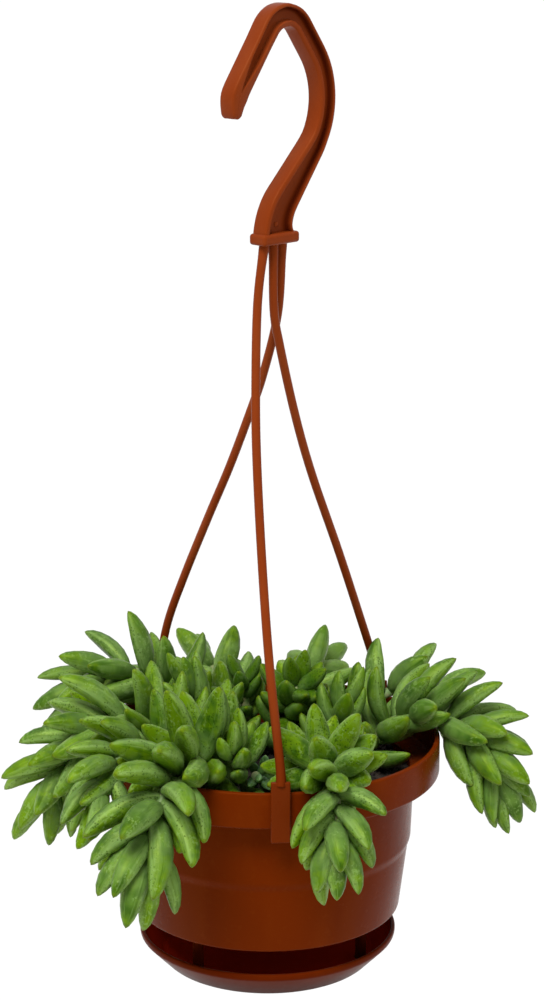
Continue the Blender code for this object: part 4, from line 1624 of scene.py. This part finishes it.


# A stem's dark share is painted shade on its leaves.
STEMS = (
    LeafyStem(
        "stem_front_left",
        ((-19, -25), (-24, -41, 3), (-30, -55, 6), (-34, -66, 1), (-37.5, -72, -8), (-40, -74, -18)),
        leaves=40, length=28.5, width=10.0, splay=(82, 38), bend=0.38, seed=11,
    ),
    LeafyStem(
        "stem_front_right",
        ((17, -30), (20, -48, 5), (22, -61, 5), (22, -69, -1), (21, -72.5, -8), (20, -73, -15)),
        leaves=40, length=22.5, width=9.0, splay=(84, 38), bend=0.3, seed=23,
    ),
    LeafyStem(
        "stem_right",
        ((34, 4), (43, 4, 2), (53, 3, 5), (63, 2, 3), (72, 0, -2), (78, -2, -9), (81.5, -3, -16)),
        leaves=44, length=24.5, width=8.8, splay=(72, 26), bend=0.28, seed=35, dark=0.18,
    ),
    LeafyStem(
        "stem_left",
        ((-33, -9), (-44, -11, 7), (-54, -13, 6), (-63, -15, 1), (-70, -16, -7), (-74, -16, -16)),
        leaves=38, length=26.0, width=9.2, splay=(78, 30), bend=0.32, seed=41,
    ),
    LeafyStem(
        "stem_left_back",
        ((-29, 17), (-38, 20, 10), (-48, 22, 15), (-58, 23, 13), (-67, 24, 7)),
        leaves=27, length=25.5, width=8.8, splay=(72, 28), bend=0.24, seed=52, dark=0.18,
    ),
    LeafyStem(
        "stem_left_front",
        ((-28, -21), (-35, -29, 4), (-43, -38, 8), (-50, -47, 6), (-55, -54, -2)),
        leaves=26, length=25.0, width=9.0, splay=(74, 26), bend=0.28, seed=67,
    ),
    LeafyStem(
        "stem_left_upright",
        ((-19, 1), (-22, 1, 4), (-26, 0, 11), (-28, 0, 17)),
        leaves=15, length=25.0, width=9.0, splay=(60, 14), bend=0.12, seed=71, dark=0.1,
    ),
    LeafyStem(
        "stem_front_short",
        ((-7, -34), (-10, -41, 2), (-13, -46, 9)),
        leaves=16, length=20.0, width=8.2, splay=(74, 24), bend=0.22, seed=83,
    ),
    LeafyStem(
        "stem_centre_back",
        ((7, 16), (8, 15, 2), (9, 13, 9), (10, 9, 14)),
        leaves=29, length=16.5, width=8.2, splay=(90, 46), bend=0.26, seed=97, dark=0.55,
    ),
    LeafyStem(
        "stem_centre_right",
        ((22, -5), (24, -5, 2), (26, -4, 11)),
        leaves=15, length=19.0, width=7.6, splay=(72, 20), bend=0.2, seed=89, dark=0.35,
    ),
    LeafyStem(
        "stem_small_dark",
        ((-7, 22), (-8, 22, 4), (-9, 20, 13)),
        leaves=17, length=14.5, width=6.2, splay=(84, 28), bend=0.2, seed=103, dark=0.7,
    ),
    LeafyStem(
        "stem_new_shoot",
        ((-1, -20), (-3, -30, -5), (-4, -43, 0)),
        leaves=11, length=8.5, width=3.8, splay=(80, 25), bend=0.2, seed=113, young=True,
    ),
    LeafyStem(
        "stem_right_back",
        ((27, 24), (40, 29, 3), (53, 35, 5), (64, 40, 0), (71, 42, -9), (74, 43, -19)),
        leaves=20, length=21.0, width=8.6, splay=(76, 26), bend=0.28, seed=127,
    ),
    LeafyStem(
        "stem_back_left",
        ((-14, 38), (-18, 50, 3), (-22, 62, 4), (-26, 71, -2), (-28, 75, -12), (-29, 77, -23)),
        leaves=20, length=20.5, width=8.8, splay=(76, 26), bend=0.3, seed=131,
    ),
    LeafyStem(
        "stem_back_right",
        ((12, 36), (15, 49, 3), (18, 62, 4), (20, 71, -3), (21, 75, -13)),
        leaves=17, length=17.5, width=8.2, splay=(76, 26), bend=0.3, seed=149,
    ),
)


@dataclass
class Plant:
    """Every leafy stem, each grown clear of the others, of the pot and of the hanger."""

    pot: Pot
    legs: Legs
    soil: Soil
    saucer: Saucer
    form: LeafForm
    stem_radius: float = 2.1
    stem_sides: int = 14
    end_taper: float = 0.7
    foot_z: float = -32.0
    rise_z: Row = (-12.5, -9.5)
    point_step: float = 2.0
    rise_points: int = 8
    gap: float = 0.5
    first_leaf_rise: float = 5.0
    root_out: float = 0.25
    crowding: float = 0.85
    tip_shortens: float = 0.22
    tip_narrows: float = 0.16
    length_range: Row = (0.86, 1.06)
    width_range: Row = (0.9, 1.06)
    bend_range: Row = (0.7, 1.25)
    sway: float = 0.05
    turn_spread: float = 0.12
    splay_spread: float = 5.0
    splay_limits: Row = (4.0, 105.0)
    probes: tuple = (0.2, 0.35, 0.5, 0.65, 0.8, 0.93)
    probe_radii: tuple = (0.86, 0.98, 0.98, 0.89, 0.68, 0.36)
    lean_tries: tuple = (0.0, -8.0, 8.0, -17.0, -28.0)
    turn_tries: tuple = (0.0, -15.0, 15.0, -32.0, 32.0, -50.0, 50.0)
    size_tries: tuple = (1.0, 0.88, 0.76, 0.66)
    size_cost: float = 25.0
    turn_cost: float = 1.0 / 12.0
    lean_cost: float = 1.0 / 9.0
    press_cost: float = 4.0
    press_allowed: float = 1.5
    cost_limit: float = 26.0
    leg_ball_step: float = 1.5
    clip_ball: float = 1.7
    clip_ball_offset: float = 2.2
    tint_seed: int = 1000
    dimple_depth: float = 0.0007
    dimple_width: float = 9.0
    dimple_scale: float = 160.0

    def centre_line(self, stem: LeafyStem) -> np.ndarray:
        """A stem's centre line: straight up through the soil, then along its route."""
        rise = [(*stem.route[0], z) for z in (self.foot_z, *self.rise_z)]
        return spaced_along(smooth_route((*rise, *stem.route[1:])), self.point_step)

    def balls(self, leaf: Leaf) -> np.ndarray:
        """Balls that stand for a leaf, as rows of a place and a radius.

        Args:
            leaf: The leaf.

        Returns:
            The rows, from near its root to near its tip.
        """
        t = np.array(self.probes)[:, None]
        places = leaf.root + leaf.length * (t * leaf.axes[0] + t**2 * leaf.curl)
        return np.column_stack([places, leaf.width / 2 * np.array(self.probe_radii)])

    def hanger_balls(self) -> np.ndarray:
        """Balls that stand for the legs and clips.

        Returns:
            Rows of a place and a radius.
        """
        rows = []
        for side in Side:
            for place in spaced_along(smooth_route(self.legs.route(side)), self.leg_ball_step):
                rows.append((*place, self.legs.radius))
            x, y = polar(side.value, self.legs.clip_middle)
            side_x, side_y = polar(side.value + 90.0, self.clip_ball_offset)
            for z in np.arange(self.legs.clip_bottom, self.legs.clip_top + self.clip_ball, self.clip_ball):
                rows.append((x + side_x, y + side_y, z, self.clip_ball))
                rows.append((x - side_x, y - side_y, z, self.clip_ball))
        return np.array(rows)

    def pot_clearance(self, balls: np.ndarray) -> float:
        """Least gap between balls and the pot's rim band, ledge, body and soil, and the saucer.

        Args:
            balls: Rows of a place and a radius.

        Returns:
            The gap.
        """
        radius = np.hypot(balls[:, 0], balls[:, 1])
        z = balls[:, 2]
        blocks = (
            (RIM.radius - RIM.wall, RIM.radius, -RIM.height, 0.0),
            (self.pot.body_top - self.pot.wall, RIM.radius, -RIM.height, -RIM.height + self.pot.wall),
            (0.0, self.pot.body_top, -self.pot.depth, self.soil.top + self.soil.bump),
            (0.0, self.saucer.rim, self.saucer.foot_z, self.saucer.rim_z),
        )
        gaps = []
        for inner, outer, low, high in blocks:
            sideways = np.maximum(np.maximum(inner - radius, radius - outer), 0.0)
            upwards = np.maximum(np.maximum(low - z, z - high), 0.0)
            gaps.append(np.hypot(sideways, upwards) - balls[:, 3])
        return float(np.min(gaps))

    def clearance(self, balls: np.ndarray, others: np.ndarray) -> float:
        """Least gap between balls and others, which are far away where there are none."""
        apart = np.linalg.norm(balls[:, None, :3] - others[None, :, :3], axis=2)
        return float((apart - balls[:, None, 3] - others[None, :, 3]).min(initial=np.inf))

    def leaf_choices(
        self, root_at: np.ndarray, tangent: np.ndarray, side: np.ndarray, splay: float, curl: Row, sizes: Row
    ) -> Iterator[tuple[float, Leaf]]:
        """Every allowed variation of one leaf.

        Args:
            root_at: The stem's centre at the leaf's root.
            tangent: The way the stem runs there.
            side: The way the leaf first points from it.
            splay: The leaf's angle from the stem, in degrees.
            curl: How far its tip bends and sways, as shares of its length.
            sizes: The leaf's full length and width.

        Returns:
            Its cost and the leaf.
        """
        for size, turn, lean in product(self.size_tries, self.turn_tries, self.lean_tries):
            cost = self.size_cost * (1.0 - size) + self.turn_cost * abs(turn) + self.lean_cost * abs(lean)
            swing = math.radians(turn)
            out = math.cos(swing) * side + math.sin(swing) * np.cross(tangent, side)
            angle = math.radians(min(max(splay + lean, self.splay_limits[0]), self.splay_limits[1]))
            along = math.cos(angle) * tangent + math.sin(angle) * out
            bend = math.sin(angle) * tangent - math.cos(angle) * out
            across = np.cross(bend, along)
            root = root_at + self.root_out * self.stem_radius * out
            curled = curl[0] * bend + curl[1] * across
            yield cost, Leaf(root, np.array([along, across, bend]), curled, sizes[0] * size, sizes[1] * size)

    def grow_leaves(self, stem: LeafyStem, curve: np.ndarray, foreign: np.ndarray) -> list[Leaf]:
        """Leaves set by the golden angle, each turned, leant or shortened until it clears its neighbours.

        Args:
            stem: The stem.
            curve: Its centre line.
            foreign: Balls that stand for everything else near it.

        Returns:
            The leaves, from the root of the stem to its tip.
        """
        draw = np.random.default_rng(stem.seed)
        tangents, normals = carried_frames(curve)
        along = distances(curve)
        low = slice(self.rise_points)
        bare = np.interp(self.rise_z[0] + self.first_leaf_rise, curve[low, 2], along[low])
        own = np.empty((0, 4))
        leaves = []
        start = draw.uniform(0.0, math.tau)
        for i in range(stem.leaves):
            part = i / (stem.leaves - 1)
            place = bare + (along[-1] - bare) * part**self.crowding
            root_at, tangent, normal = (read_at(place, along, rows) for rows in (curve, tangents, normals))
            tangent /= np.linalg.norm(tangent)
            normal -= tangent * normal.dot(tangent)
            normal /= np.linalg.norm(normal)
            around = start + i * GOLDEN_ANGLE + draw.normal(0.0, self.turn_spread)
            side = math.cos(around) * normal + math.sin(around) * np.cross(tangent, normal)
            near_tip = part**3
            lean = draw.normal(0.0, self.splay_spread)
            splay = stem.splay[0] + (stem.splay[1] - stem.splay[0]) * near_tip + lean
            length = stem.length * draw.uniform(*self.length_range) * (1.0 - self.tip_shortens * near_tip)
            width = stem.width * draw.uniform(*self.width_range) * (1.0 - self.tip_narrows * near_tip)
            curl = (stem.bend * draw.uniform(*self.bend_range), draw.normal(0.0, self.sway))
            least, best = self.cost_limit, None
            for cost, leaf in self.leaf_choices(root_at, tangent, side, splay, curl, (length, width)):
                if cost >= least:
                    continue
                balls = self.balls(leaf)
                if self.pot_clearance(balls) < self.gap or self.clearance(balls, foreign) < self.gap:
                    continue
                cost += self.press_cost * max(0.0, -self.press_allowed - self.clearance(balls[1:], own))
                if cost < least:
                    least, best = cost, leaf
            if best:
                leaves.append(best)
                own = np.vstack([own, self.balls(best)[1:]])
        return leaves

    def grow(self) -> Iterator[tuple[LeafyStem, np.ndarray, list[Leaf]]]:
        """Grows every stem's leaves, clear of the hanger, the other stems and the leaves before them.

        Returns:
            Each stem, its centre line and its leaves.
        """
        curves = [self.centre_line(stem) for stem in STEMS]
        cores = [np.column_stack([curve, np.full(len(curve), self.stem_radius)]) for curve in curves]
        taken = [self.hanger_balls()]
        for i, (stem, curve) in enumerate(zip(STEMS, curves)):
            leaves = self.grow_leaves(stem, curve, np.vstack([*taken, *cores[:i], *cores[i + 1 :]]))
            taken += [self.balls(leaf) for leaf in leaves]
            yield stem, curve, leaves

    def leaf_points(self, stem: LeafyStem, leaves: list[Leaf]) -> Object:
        """Points at the leaves' roots, whose attributes turn, size, bend and tint each leaf and lay the
        stem's painted shade on it.

        Args:
            stem: The stem.
            leaves: Its leaves.

        Returns:
            The points.
        """
        made = placed(f"{stem.name}_leafy", from_rim([leaf.root for leaf in leaves]))
        draw = np.random.default_rng(stem.seed + self.tint_seed)
        # A bend that grows with the square of the length turns a leaf's sections by twice its slope.
        lies = {
            "turn": [Matrix(leaf.axes.tolist()).transposed().to_euler() for leaf in leaves],
            "size": [(leaf.length * MM, leaf.width * MM, leaf.width * MM) for leaf in leaves],
            "curl": [leaf.length * MM * leaf.curl for leaf in leaves],
            "tilt": [-2.0 * leaf.width * MM * leaf.curl.dot(leaf.axes[2]) * leaf.axes[0] for leaf in leaves],
        }
        for name, values in lies.items():
            mark(made, name, values, "FLOAT_VECTOR")
        mark(made, "tint", [draw.uniform(0.0, 1.0) for _ in leaves])
        # The stem's painted shade.
        mark(made, "dark", [stem.dark] * len(leaves))
        return made

    def build(self) -> Iterator[tuple[LeafyStem, Object]]:
        """Builds each stem with its leaves as one piece.

        Returns:
            Each stem and its piece.
        """
        leaf = self.form.build()
        spray, tree = leaf_spray_tree(), tube_tree()
        bark = STEM_FINISH.material()
        skins = {False: LEAF_FINISH.material(), True: YOUNG_FINISH.material()}
        core_size = {"Radius": self.stem_radius * MM, "Sides": self.stem_sides}
        for stem, curve, leaves in self.grow():
            swell = np.linspace(1.0, self.end_taper, len(curve))
            core = tube("core", curve, swell, tree, Finish=bark, **core_size)
            made = self.leaf_points(stem, leaves)
            depth = self.dimple_depth * stem.width / self.dimple_width
            dimples = {"Dimple_Depth": depth, "Dimple_Scale": self.dimple_scale}
            grown(made, spray, Leaf=leaf, Stem=core, Leaf_Finish=skins[stem.young], **dimples)
            bpy.data.objects.remove(core)
            yield stem, made
        bpy.data.objects.remove(leaf)


@dataclass
class Studio:
    """Pale floor, soft light and the camera at the photograph's angle."""

    camera_place: Place = (0.0, -850.0, 301.9)
    pitch: float = 14.4
    focal_px: float = 2576.0
    long_side_px: float = 1000.0
    centre_shift_px: float = 4.44
    sensor: float = 36.0
    floor_drop: float = 0.3
    floor_radius: float = 30.0
    floor_sides: int = 96
    floor_tone: Colour = (0.74, 0.74, 0.74)
    sky_front: float = 0.28
    sky_behind: float = 0.62
    sky_turns: Row = (-0.9, 0.5)
    suns: tuple = (("key", 32.0, -14.0, 3.3, 26.0), ("fill", 20.0, 48.0, 0.35, 80.0))

    def build(self) -> None:
        """Sets the floor, the sky, the suns and the camera."""
        bpy.context.scene.view_settings.view_transform = "Standard"
        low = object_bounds()[0].z - self.floor_drop
        rim = ring_at(self.floor_radius, low, self.floor_sides)
        floor = placed("floor", rim, [tuple(range(self.floor_sides))])
        paint = PaintGraph("pale_floor")
        tone = rgba(self.floor_tone)
        dressed([floor], paint.finished(Base_Color=tone, Roughness=0.9, Specular_IOR_Level=0.1))
        floor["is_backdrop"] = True
        self.sky()
        for name, lean, swing, strength, spread in self.suns:
            light = bpy.data.lights.new(name, "SUN")
            light.energy = strength
            light.angle = math.radians(spread)
            self.aimed(name, light, (math.radians(lean), math.radians(swing), 0.0))
        self.camera()

    def aimed(self, name: str, data: object, turn: Place) -> Object:
        """Adds a light or a camera with a turn.

        Args:
            name: Its name.
            data: The light or camera.
            turn: Its rotation.

        Returns:
            The object.
        """
        made = bpy.data.objects.new(name, data)
        made.rotation_euler = turn
        bpy.context.scene.collection.objects.link(made)
        return made

    def sky(self) -> None:
        """Sets a white sky that is brighter behind the pot than in front."""
        world = bpy.data.worlds.new("soft_sky")
        world.use_nodes = True
        graph = Graph(world.node_tree)
        looks = graph.node("ShaderNodeTexCoord").outputs["Generated"]
        ahead = graph.node("ShaderNodeSeparateXYZ", {0: looks}).outputs[1]
        rise = graph.ease(ahead, *self.sky_turns)
        strength = graph.line(rise, self.sky_behind - self.sky_front, self.sky_front)
        graph.fill(world.node_tree.nodes["Background"], {0: (1.0, 1.0, 1.0, 1.0), 1: strength})
        bpy.context.scene.world = world

    def camera(self) -> None:
        """Adds the camera at the photograph's viewing angle."""
        data = bpy.data.cameras.new("camera")
        data.sensor_width = self.sensor
        data.lens = self.focal_px * self.sensor / self.long_side_px
        data.shift_x = self.centre_shift_px / self.long_side_px
        made = self.aimed("camera", data, (math.radians(90.0 - self.pitch), 0.0, 0.0))
        made.location = from_rim([self.camera_place])[0]
        bpy.context.scene.camera = made


def main() -> None:
    """Builds every piece in order and reports it."""
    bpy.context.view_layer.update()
    pot_finish = POT_FINISH.material()
    hanger_finish = HANGER_FINISH.material()
    pot, saucer, soil, legs = Pot(), Saucer(), Soil(), Legs()
    for piece in pot.build(pot_finish):
        handed_over(piece, ["pot"], Slot.POT)
    for piece in saucer.build(pot, SAUCER_FINISH.material()):
        handed_over(piece, ["saucer"], Slot.POT)
    for piece in HOOK.build(hanger_finish) + legs.build(hanger_finish):
        handed_over(piece, ["hanger"], Slot.HANGER)
    for piece in soil.build(pot, PEAT_FINISH.material()):
        handed_over(piece, ["soil"], Slot.SOIL)
    plant = Plant(pot, legs, soil, saucer, LeafForm())
    for stem, piece in plant.build():
        handed_over(piece, [stem.name], Slot.YOUNG_LEAF if stem.young else Slot.LEAF)
    Studio().build()


if __name__ == "__main__":
    main()
